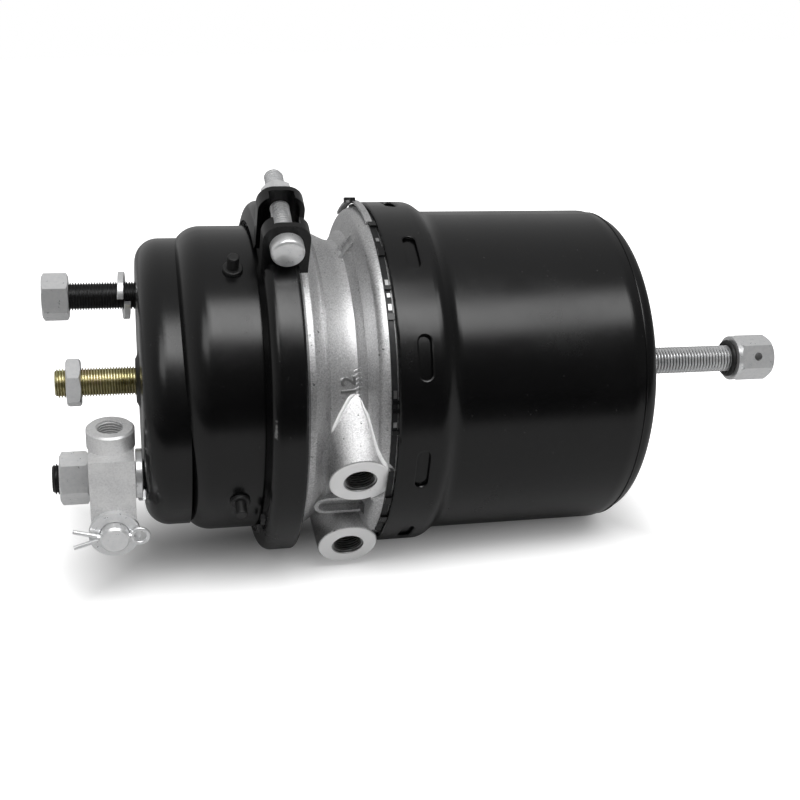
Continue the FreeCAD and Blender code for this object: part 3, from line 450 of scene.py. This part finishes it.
def cast_aluminium():
    """Sand-cast skin with fine grain and pits, the pits painted dark as shade inside them, and bright turned faces on
    the two ports.
    """
    s = Shader("cast_aluminium")
    grain = s.noise(1150.0, 4.0, 0.7)
    stain = s.noise(70.0, 4.0, 0.6)
    pits = s.spread(s.noise(330.0, 2.0), 0.71, 0.75)
    tone = s.mix(s.spread(grain, 0.3, 0.7), (0.4, 0.4, 0.405, 1), (0.86, 0.86, 0.865, 1))
    cast = s.mix(s.spread(stain, 0.4, 0.7, 0.0, 0.45), tone, (0.74, 0.74, 0.735, 1))
    # Painted shade: the pits darkened almost to black
    cast = s.mix(s.maths("MULTIPLY", pits, 0.7), cast, (0.06, 0.06, 0.06, 1))
    faced = s.port_faces()
    s.set(Base_Color=s.mix(faced, cast, (0.9, 0.9, 0.9, 1)))
    s.set(Metallic=s.spread(faced, 0.0, 1.0, 0.92, 0.3))
    s.set(Roughness=s.spread(faced, 0.0, 1.0, 0.4, 0.3))
    height = s.maths("MULTIPLY", grain, s.spread(faced, 0.0, 1.0, 1.0, 0.04))
    sunk = s.bump(s.maths("SUBTRACT", 0.0, pits), 0.6, 0.5 * mm)
    s.set(Normal=s.bump(height, 0.55, 0.3 * mm, sunk))
    return s.material


def turned_aluminium():
    """Cut threads inside the ports."""
    s = Shader("turned_aluminium")
    s.set(Metallic=1.0)
    s.set(Base_Color=s.mix(s.noise(800.0, 2.0), (0.4, 0.4, 0.4, 1), (0.6, 0.6, 0.6, 1)))
    s.set(Roughness=s.spread(s.noise(300.0), 0.3, 0.7, 0.28, 0.38))
    s.set(Normal=s.bump(s.noise(2500.0), 0.1, 0.05 * mm))
    return s.material


def plastic():
    s = Shader("white_plastic")
    s.set(Base_Color=s.mix(s.noise(120.0), (0.78, 0.78, 0.75, 1), (0.84, 0.84, 0.81, 1)))
    s.set(Roughness=s.spread(s.noise(300.0), 0.3, 0.7, 0.38, 0.48))
    s.set(Normal=s.bump(s.noise(700.0), 0.05, 0.1 * mm))
    return s.material


finishes = {
    "black_paint": black_paint(),
    "black_steel": black_steel(),
    "black_rubber": rubber(),
    "plain_steel": plated("plain_steel", (0.24, 0.24, 0.24, 1), (0.38, 0.38, 0.38, 1), 0.35, 0.2),
    "zinc": plated("zinc", (0.86, 0.87, 0.88, 1), (0.98, 0.98, 0.98, 1), 0.27, 0.1, 0.72),
    "yellow_zinc": yellow_passivate(),
    "zinc_casting": grainy_zinc(),
    "cast_aluminium": cast_aluminium(),
    "white_plastic": plastic(),
}
turned_aluminium_finish = turned_aluminium()
# Near-white finish for the seams round the upper boss: a painted highlight along them
painted_seam_highlight = plated("painted_seam_highlight", (0.88, 0.88, 0.88, 1), (0.98, 0.98, 0.98, 1), 0.4, 0.15, 0.2)

# Painted shade for the bottoms of a thread's grooves: a darker finish, by the slot of its crests
groove_shades = {
    "zinc": plated("zinc_groove_shade", (0.03, 0.03, 0.03, 1), (0.07, 0.07, 0.07, 1), 0.4, 0.1),
    "yellow_zinc": plated("yellow_zinc_groove_shade", (0.2, 0.17, 0.07, 1), (0.34, 0.29, 0.13, 1), 0.4, 0.1),
    "zinc_casting": plated("zinc_casting_groove_shade", (0.1, 0.1, 0.1, 1), (0.2, 0.2, 0.2, 1), 0.4, 0.1),
    "cast_aluminium": plated("turned_groove_shade", (0.06, 0.06, 0.06, 1), (0.12, 0.12, 0.12, 1), 0.4, 0.1),
}
node_slots = {entry["node"]: entry["material_slot"] for entry in frame["record"]["subparts"]}
for node, piece in frame["nodes"].items():
    piece.data.materials.clear()
    piece.data.materials.append(finishes[node_slots[node]])


# Threaded pieces, each in place of its node
def bar(name, node, body, slot, place, stretch, root, crest, pitch, tips, rest=()):
    """Threaded bar made on the X axis, with turned parts of (x, r) points, that stands for a node."""
    mesh = bmesh.new()
    thread(mesh, stretch[0], stretch[1], root, crest, pitch, tips)
    for points in rest:
        lathe(mesh, points)
    bmesh.ops.transform(mesh, matrix=place, verts=mesh.verts)
    piece = finish_mesh(name, mesh, body, slot)
    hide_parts(node)


def stud_bars():
    plate_face = 9.0 * mm
    head_end = 14.0 * mm
    head_radius = 13.0 * mm
    head = [(plate_face, 0.0), (plate_face, head_radius), (head_end - 1.5 * mm, head_radius),
            (head_end, head_radius - 1.5 * mm), (head_end, 0.0)]
    for node, angle in (("stud_upper", upper_stud_angle), ("stud_lower", lower_stud_angle)):
        bar(node + "_thread", node, "chamber", "black_steel", at_stud(angle), (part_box(node)[0].x, plate_face),
            7.0 * mm, 8.0 * mm, fine_pitch, (1.5 * mm, 0.0), [head])


def pushrod_bar():
    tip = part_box("pushrod")[0].x
    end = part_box("pushrod")[1].x
    plain = 30.0 * mm
    shank = [(plain, 0.0), (plain, 8.0 * mm), (end, 8.0 * mm), (end, 0.0)]
    bar("pushrod_thread", "pushrod", "pushrod_assembly", "yellow_zinc", Matrix.Identity(4), (tip, plain), 7.0 * mm,
        8.0 * mm, fine_pitch, (1.5 * mm, 0.0), [shank])


def clamp_bolt_bar():
    """Bolt with a flat, low domed head."""
    seat = -16.0 * mm
    tip = 41.3 * mm
    head = [(-23.0, 0.0), (-22.95, 6.9), (-22.6, 7.7), (-21.9, 8.3), (-21.0, 8.5), (-16.0, 8.5), (-16.0, 0.0)]
    bar("clamp_bolt_thread", "clamp_bolt", "chamber", "zinc", at_clamp(), (seat, tip), 4.1 * mm, 5.0 * mm,
        clamp_pitch, (0.0, 1.0 * mm), [[(x * mm, radius * mm) for x, radius in head]])


def release_bar():
    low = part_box("release_bolt")[0].x
    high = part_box("release_bolt")[1].x
    stop_end = low + 6.0 * mm
    stop_radius = 11.0 * mm
    stop = [(low, 0.0), (low, stop_radius - 1.0 * mm), (low + 1.0 * mm, stop_radius), (stop_end, stop_radius),
            (stop_end, 0.0)]
    bar("release_bolt_thread", "release_bolt", "release_screw", "zinc", Matrix.Identity(4), (stop_end, high),
        6.8 * mm, 8.0 * mm, coarse_pitch, (0.0, 1.0 * mm), [stop])


def inner_threads():
    """Cut threads in both ports and in the clevis's socket, as thin sleeves in their bores."""
    for row in ("upper", "lower"):
        mesh = bmesh.new()
        thread(mesh, 74.5 * mm, port_face - 0.2 * mm, 8.5 * mm, 7.7 * mm, fine_pitch, wall=9.1 * mm, flare=0.5 * mm)
        bmesh.ops.transform(mesh, matrix=at_port(row), verts=mesh.verts)
        finish_mesh("port_thread_" + row, mesh, "chamber", "cast_aluminium", turned_aluminium_finish)
    mesh = bmesh.new()
    thread(mesh, 8.6 * mm, 28.8 * mm, 7.3 * mm, 6.5 * mm, fine_pitch, wall=7.9 * mm)
    stand = Matrix.Rotation(math.radians(-90.0), 4, "Y")
    bmesh.ops.transform(mesh, matrix=at_clevis() @ stand, verts=mesh.verts)
    finish_mesh("clevis_thread", mesh, "clevis_fork", "zinc_casting")


def lock_washer(node, body, angle, front, rise, split):
    """Spring washer wound once the other way from the thread, its ends apart at the split."""
    inner = 8.25 * mm
    outer = 13.7 * mm
    thick = 3.6 * mm
    edge = 0.35 * mm
    steps = 60
    gap = 7.0
    mesh = bmesh.new()
    rings = []
    for i in range(steps + 1):
        share = i / steps
        turn = math.radians(split + gap + (360.0 - 2.0 * gap) * share)
        near = front - rise * (1.0 - share)
        section = [(near, inner + edge), (near - edge, inner), (near - thick + edge, inner),
                   (near - thick, inner + edge), (near - thick, outer - edge), (near - thick + edge, outer),
                   (near - edge, outer), (near, outer - edge)]
        rings.append([mesh.verts.new((x, -radius * math.cos(turn), radius * math.sin(turn)))
                      for x, radius in section])
    for first, second in zip(rings, rings[1:]):
        bridge(mesh, first, second)
    mesh.faces.new(rings[0])
    mesh.faces.new(rings[-1])
    place = Matrix.Translation(at_stud(angle).to_translation())
    bmesh.ops.transform(mesh, matrix=place, verts=mesh.verts)
    piece = finish_mesh(node + "_split", mesh, body, "zinc")
    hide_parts(node)


# Details of the cast body
def boss_offset(height, turn, grow=0.0):
    """Place across a port's axis of the upper boss's leaning cone, at a distance out along that axis."""
    below = boss_top - height
    radius = 16.52 * mm + 0.28 * below + grow
    return 0.22 * below + radius * math.cos(turn), radius * math.sin(turn)


def trim(mesh, x):
    """Cut a closed mesh at a distance along the chamber and close it there."""
    every = mesh.verts[:] + mesh.edges[:] + mesh.faces[:]
    cut = bmesh.ops.bisect_plane(mesh, geom=every, plane_co=(x, 0, 0), plane_no=(1, 0, 0), clear_outer=True)
    bmesh.ops.contextual_create(mesh, geom=[e for e in cut["geom_cut"] if isinstance(e, bmesh.types.BMEdge)])


def upper_boss():
    """The cast foot that widens from the upper port's face into the body and leans up along it."""
    count = 96
    inner = 15.5 * mm
    heights = (54.0 * mm, 62.0 * mm, 70.0 * mm, 80.0 * mm, boss_top)
    mesh = bmesh.new()
    rings = []
    for height in heights:
        ring = []
        for i in range(count):
            y, z = boss_offset(height, 2.0 * math.pi * i / count)
            ring.append(mesh.verts.new((height, y, z)))
        rings.append(ring)
    rings.append(ring_of(mesh, heights[-1], inner, count))
    rings.append(ring_of(mesh, heights[0], inner, count))
    close_loop(mesh, rings)
    bmesh.ops.transform(mesh, matrix=at_port("upper"), verts=mesh.verts)
    trim(mesh, body_end)
    finish_mesh("upper_boss_foot", mesh, "chamber", "cast_aluminium")


def seam(start, end, count=40):
    """Points where the upper boss's foot meets the body, between two angles about the boss."""
    start_height = 72.0 * mm
    outside = 95.0 * mm
    last_position = 121.0 * mm
    body = frame["nodes"]["flange_body"]
    place = at_port("upper")
    inward = (place.to_3x3() @ Vector((-1, 0, 0))).normalized()
    found = []
    for i in range(count + 1):
        turn = math.radians(start + (end - start) * i / count)
        height = start_height
        for _ in range(8):
            y, z = boss_offset(height, turn, 0.2 * mm)
            hit, point, _, _ = body.ray_cast(place @ Vector((outside, y, z)), inward)
            if not hit:
                break
            height = 0.5 * (height + (place.inverted() @ point).x)
        if hit and point.x < last_position:
            found.append(point.copy())
    return found


def faced_body():
    """The cast body with its bell cut away over both port faces, and wider threaded holes in them."""
    hole_bottom = 74.0 * mm
    hole_radius = 8.9 * mm
    face_radius = 17.3 * mm
    above = 102.0 * mm
    profile = [(hole_bottom, 0.0), (hole_bottom, hole_radius), (port_face, hole_radius), (port_face, face_radius),
               (above, face_radius), (above, 0.0)]
    node = frame["nodes"]["flange_body"]
    mesh = bmesh.new()
    for row in ("upper", "lower"):
        cutter = bmesh.new()
        lathe(cutter, profile, 96)
        bmesh.ops.transform(cutter, matrix=at_port(row), verts=cutter.verts)
        bmesh.ops.remove_doubles(cutter, verts=cutter.verts, dist=1e-6)
        bmesh.ops.recalc_face_normals(cutter, faces=cutter.faces)
        data = bpy.data.meshes.new("cutter")
        cutter.to_mesh(data)
        cutter.free()
        mesh.from_mesh(data)
    data = bpy.data.meshes.new("cutters")
    mesh.to_mesh(data)
    mesh.free()
    tool = bpy.data.objects.new("cutters", data)
    piece = bpy.data.objects.new("flange_body_faced", node.data.copy())
    for thing in (tool, piece):
        bpy.context.scene.collection.objects.link(thing)
    cut = piece.modifiers.new("cut", "BOOLEAN")
    cut.operation = "DIFFERENCE"
    cut.solver = "EXACT"
    cut.object = tool
    bpy.context.view_layer.update()
    shape = bpy.data.meshes.new_from_object(piece.evaluated_get(bpy.context.evaluated_depsgraph_get()))
    bpy.data.objects.remove(tool)
    bpy.data.objects.remove(piece)
    mesh = bmesh.new()
    mesh.from_mesh(shape)
    for face in mesh.faces:
        face.material_index = 0
    piece = finish_mesh("flange_body_faced", mesh, "chamber", "cast_aluminium")
    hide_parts("flange_body")


def flash_lines():
    """Raised seams round the upper boss's foot, coloured near-white as a painted highlight along them, the right one
    ending in a bead.
    """
    mesh = bmesh.new()
    for start, end, width in ((3.0, 42.0, 0.95), (-3.0, -74.0, 1.15)):
        points = seam(start, end)
        last = len(points) - 1
        widths = [width * mm * min(1.0, 0.4 + 0.15 * min(i, last - i)) for i in range(last + 1)]
        if last > 3:
            sweep(mesh, points, widths)
    finish_mesh("boss_flash", mesh, "chamber", "cast_aluminium", painted_seam_highlight)


def cast_figures():
    """A raised 12 that reads upwards, with a short ladder of marks beside it."""
    curve = bpy.data.curves.new("figures", "FONT")
    curve.body = "12"
    curve.size = 11.0 * mm
    curve.extrude = 0.7 * mm
    curve.bevel_depth = 0.22 * mm
    curve.bevel_resolution = 2
    curve.resolution_u = 6
    text = bpy.data.objects.new("figures", curve)
    bpy.context.scene.collection.objects.link(text)
    bpy.context.view_layer.update()
    flat = bpy.data.meshes.new_from_object(text)
    bpy.data.objects.remove(text)
    mesh = bmesh.new()
    mesh.from_mesh(flat)
    bmesh.ops.subdivide_edges(mesh, edges=[e for e in mesh.edges if e.calc_length() > 1.5 * mm], cuts=2)
    for vert in mesh.verts:
        angle = figure_angle + math.degrees(vert.co.x / (79.0 * mm))
        vert.co = skin("flange_body", figure_position - vert.co.y, angle, vert.co.z + 0.1 * mm)
    finish_mesh("cast_figures", mesh, "chamber", "cast_aluminium", turned_aluminium_finish)
    mesh = bmesh.new()
    for i in range(7):
        angle = figure_angle - 1.2 + 1.75 * i
        x = figure_position - 0.6 * mm
        points = [skin("flange_body", x + 0.9 * mm * k, angle + 0.35 * k, 0.1 * mm) for k in range(5)]
        sweep(mesh, points, [0.25 * mm, 0.5 * mm, 0.55 * mm, 0.5 * mm, 0.25 * mm])
    finish_mesh("cast_ladder", mesh, "chamber", "cast_aluminium")


def joint_strip():
    """Bright tabs and black blocks of the strip that shows in the joint."""
    low = 94.2 * mm
    tabs = bmesh.new()
    for angle, arc in ((48.0, 4.0), (43.5, 3.0), (39.5, 4.2), (12.5, 5.0), (3.0, 3.4), (66.0, 3.5), (88.0, 4.0),
                       (131.0, 4.0), (150.0, 3.0), (178.0, 5.0), (201.0, 4.0), (228.0, 4.0), (265.0, 4.5)):
        block(tabs, 122.1 * mm, 123.9 * mm, low, 94.9 * mm, angle, 0.8 * arc * mm)
    finish_mesh("joint_tabs", tabs, "chamber", "cast_aluminium", turned_aluminium_finish)
    mesh = bmesh.new()
    for angle, arc in ((46.0, 2.4), (36.3, 3.4), (10.2, 2.0), (7.5, 2.0), (0.6, 2.4), (-25.5, 5.0), (-36.0, 5.0),
                       (60.0, 6.0), (75.0, 5.0), (108.0, 8.0), (140.0, 6.0), (190.0, 6.0), (240.0, 8.0)):
        block(mesh, 121.4 * mm, 124.7 * mm, low, 95.7 * mm, angle, arc * mm)
    finish_mesh("joint_blocks", mesh, "chamber", "black_paint")
    frame["nodes"]["lock_ring"].data.materials[0] = finishes["black_steel"]


def dimple_beads():
    """Rounded edge round each pressed dimple of the skirt."""
    middle = 139.0 * mm
    half_width = 4.2 * mm
    half_length = 12.2 * mm
    radius = 95.5 * mm
    bead = 0.95 * mm
    first_angle = 23.3
    dimples = 10
    straight = half_length - half_width
    loop = []
    for side in (1, -1):
        for i in range(13):
            turn = math.pi * i / 12
            loop.append((side * half_width * math.cos(turn), side * (straight + half_width * math.sin(turn))))
        for i in range(1, 6):
            loop.append((-side * half_width, side * straight * (1.0 - i / 3.0)))
    mesh = bmesh.new()
    for k in range(dimples):
        angle = first_angle + 360.0 * k / dimples
        rings = []
        for i, (x, along) in enumerate(loop):
            before = loop[i - 1]
            after = loop[(i + 1) % len(loop)]
            ahead = Vector((after[0] - before[0], after[1] - before[1], 0)).normalized()
            ring = []
            for n in range(8):
                turn = 2.0 * math.pi * n / 8
                across = bead * math.cos(turn)
                lift = bead * math.sin(turn)
                place = around(middle + x + ahead.y * across, radius + lift,
                               angle + math.degrees((along - ahead.x * across) / radius))
                ring.append(mesh.verts.new(place))
            rings.append(ring)
        close_loop(mesh, rings)
    finish_mesh("dimple_beads", mesh, "chamber", "black_paint")


def strip_end():
    """End of the lock strip, bent up over the joint on top of the chamber, with two small tabs."""
    thick = 1.3 * mm
    width = 3.6 * mm
    steps = 28
    mesh = bmesh.new()
    rings = []
    for i in range(steps + 1):
        share = i / steps
        angle = 76.0 + 44.0 * share
        rise = 2.0 * mm * math.sin(math.pi * share) ** 0.8
        low = 94.4 * mm + rise
        x = 119.6 * mm - 2.2 * mm * share
        rings.append([mesh.verts.new(around(x, low, angle)), mesh.verts.new(around(x, low + thick, angle)),
                      mesh.verts.new(around(x + width, low + thick, angle)),
                      mesh.verts.new(around(x + width, low, angle))])
    for first, second in zip(rings, rings[1:]):
        bridge(mesh, first, second)
    mesh.faces.new(rings[0])
    mesh.faces.new(rings[-1])
    finish_mesh("strip_end", mesh, "chamber", "cast_aluminium")
    mesh = bmesh.new()
    for angle in (96.5, 106.5):
        block(mesh, 117.6 * mm, 120.4 * mm, 96.5 * mm, 99.4 * mm, angle, 3.2 * mm)
    finish_mesh("strip_tabs", mesh, "chamber", "black_steel")


def rear_crease():
    """Fine raised line round the rear step of the spring housing."""
    x = 261.3 * mm
    width = 0.5 * mm
    point = skin("spring_housing", x, 0.0)
    radius = math.hypot(point.y, point.z)
    mesh = bmesh.new()
    rings = []
    for i in range(8):
        turn = 2.0 * math.pi * i / 8
        rings.append(ring_of(mesh, x + width * math.cos(turn), radius + width * math.sin(turn), 128))
    close_loop(mesh, rings)
    finish_mesh("rear_crease", mesh, "chamber", "black_paint")


def groove_shade_blocks():
    """Small black forked blocks in the groove beside the clamp band: a dark shape put in as painted shade there."""
    mesh = bmesh.new()
    block(mesh, 58.2 * mm, 60.4 * mm, 88.5 * mm, 91.6 * mm, -37.0, 7.0 * mm)
    block(mesh, 57.0 * mm, 58.6 * mm, 88.5 * mm, 91.4 * mm, -45.0, 6.0 * mm)
    block(mesh, 60.0 * mm, 61.6 * mm, 88.5 * mm, 91.4 * mm, -45.0, 6.0 * mm)
    # Black blocks that paint the shade in the groove
    finish_mesh("groove_shade_blocks", mesh, "chamber", "black_steel")


stud_bars()
pushrod_bar()
clamp_bolt_bar()
release_bar()
inner_threads()
lock_washer("lock_washer_upper", "upper_lock_washer", upper_stud_angle, -2.6 * mm, 4.0 * mm, 0.0)
lock_washer("lock_washer_lower", "chamber", lower_stud_angle, 0.0, 1.4 * mm, -45.0)
upper_boss()
flash_lines()
dimple_beads()
cast_figures()
joint_strip()
strip_end()
rear_crease()
groove_shade_blocks()
faced_body()


# Stage
def place_camera():
    right_level = Vector((math.cos(look_across), math.sin(look_across), 0.0))
    up_level = Vector((-math.sin(look_across) * math.sin(look_down), math.cos(look_across) * math.sin(look_down),
                       math.cos(look_down)))
    ahead = Vector((-math.sin(look_across) * math.cos(look_down), math.cos(look_across) * math.cos(look_down),
                    -math.sin(look_down)))
    right = right_level * math.cos(camera_roll) + up_level * math.sin(camera_roll)
    up = up_level * math.cos(camera_roll) - right_level * math.sin(camera_roll)
    place = -(right * chamber_right + up * chamber_up + ahead * chamber_ahead)
    data = bpy.data.cameras.new("camera")
    data.sensor_width = sensor_width
    data.lens = sensor_width * focal_pixels / photo_width
    data.clip_start = 0.01
    camera = bpy.data.objects.new("camera", data)
    bpy.context.scene.collection.objects.link(camera)
    turn = Matrix((right, up, -ahead)).transposed().to_4x4()
    camera.matrix_world = Matrix.Translation(place) @ turn
    bpy.context.scene.camera = camera


def floor_material():
    """White floor: plainly lit under the object, shining white further off, duller in reflections."""
    s = Shader("floor")
    path = s.add("ShaderNodeLightPath")
    parts = s.add("ShaderNodeSeparateXYZ", {0: s.place})
    # Only in reflections: the floor painted half as bright, and near black beyond its front edge, a painted dark
    # reflection
    reflected_dark_edge = s.spread(parts.outputs["Y"], -0.37, -0.34)
    seen = s.mix(reflected_dark_edge, (0.02, 0.02, 0.02, 1), (0.5, 0.5, 0.5, 1))
    s.set(Base_Color=s.mix(path.outputs["Is Glossy Ray"], (0.9, 0.9, 0.9, 1), seen), Roughness=0.7)
    s.surface.inputs["Specular IOR Level"].default_value = 0.0
    across = s.maths("ABSOLUTE", parts.outputs["Y"])
    beyond = s.maths("ABSOLUTE", s.maths("SUBTRACT", parts.outputs["X"], 0.13))
    near = s.maths("MAXIMUM", s.spread(across, 0.0, 0.1), s.spread(beyond, 0.12, 0.2))
    far = s.maths("POWER", near, 1.6)
    s.set(Emission_Color=(1, 1, 1, 1))
    s.set(Emission_Strength=s.maths("MULTIPLY", far, path.outputs["Is Camera Ray"]))
    return s.material


def make_floor():
    """The floor touches the skirt and the rear rim, on which the chamber lies."""
    skirt_low = Vector((137.5 * mm, -96.5 * mm))
    rim_low = Vector((258.0 * mm, -91.0 * mm))
    slope = (rim_low.y - skirt_low.y) / (rim_low.x - skirt_low.x)
    half = 3.0
    corners = []
    for x, y in ((-half, -half), (half, -half), (half, half), (-half, half)):
        corners.append((x, y, skirt_low.y + slope * (x - skirt_low.x)))
    data = bpy.data.meshes.new("floor")
    data.from_pydata(corners, [], [(0, 1, 2, 3)])
    data.materials.append(floor_material())
    floor = bpy.data.objects.new("floor", data)
    bpy.context.scene.collection.objects.link(floor)


def area_light(name, azimuth, height, distance, width, length, radiance):
    """Softbox in a direction from the chamber, of a given brightness; white is 1."""
    chamber_middle = Vector((0.14, 0.0, 0.0))
    turn = math.radians(azimuth)
    rise = math.radians(height)
    away = Vector((math.sin(turn) * math.cos(rise), -math.cos(turn) * math.cos(rise), math.sin(rise)))
    data = bpy.data.lights.new(name, "AREA")
    data.shape = "RECTANGLE"
    data.size = width
    data.size_y = length
    data.energy = radiance * math.pi * width * length
    lamp = bpy.data.objects.new(name, data)
    bpy.context.scene.collection.objects.link(lamp)
    lamp.location = chamber_middle + away * distance
    lamp.rotation_euler = (-away).to_track_quat("-Z", "Y").to_euler()
    lamp.visible_camera = False


def make_world():
    """White to the camera; for lighting, even; in reflections, dark on the camera's side of the room."""
    world = bpy.data.worlds.new("studio")
    world.use_nodes = True
    room = Nodes(world.node_tree)
    path = room.add("ShaderNodeLightPath")
    place = room.add("ShaderNodeTexCoord")
    parts = room.add("ShaderNodeSeparateXYZ", {0: place.outputs["Generated"]})
    back = room.spread(parts.outputs["Y"], -1.0, 0.0, 0.02, 0.42)
    side = room.spread(parts.outputs["X"], 0.35, 1.0, 1.0, 0.3)
    mirrored = room.maths("MULTIPLY", back, side)
    lit = room.mix(path.outputs["Is Glossy Ray"], (0.42, 0.42, 0.42, 1), mirrored)
    seen = room.mix(path.outputs["Is Camera Ray"], lit, (1, 1, 1, 1))
    room.feed(room.tree.nodes["Background"].inputs["Color"], seen)
    bpy.context.scene.world = world


place_camera()
make_floor()
make_world()
# name, azimuth, height, distance, width, length, brightness
area_light("key_box", -2.0, 60.0, 1.1, 0.36, 0.42, 3.1)
area_light("key_spill", -2.0, 60.0, 1.12, 0.58, 0.66, 1.9)
area_light("side_box", 34.0, 50.0, 1.15, 0.62, 0.3, 2.0)
area_light("side_spill", 34.0, 50.0, 1.17, 0.66, 0.48, 1.4)
area_light("left_box", -36.0, 44.0, 1.1, 0.4, 0.46, 2.4)
bpy.context.scene.view_settings.view_transform = "Standard"
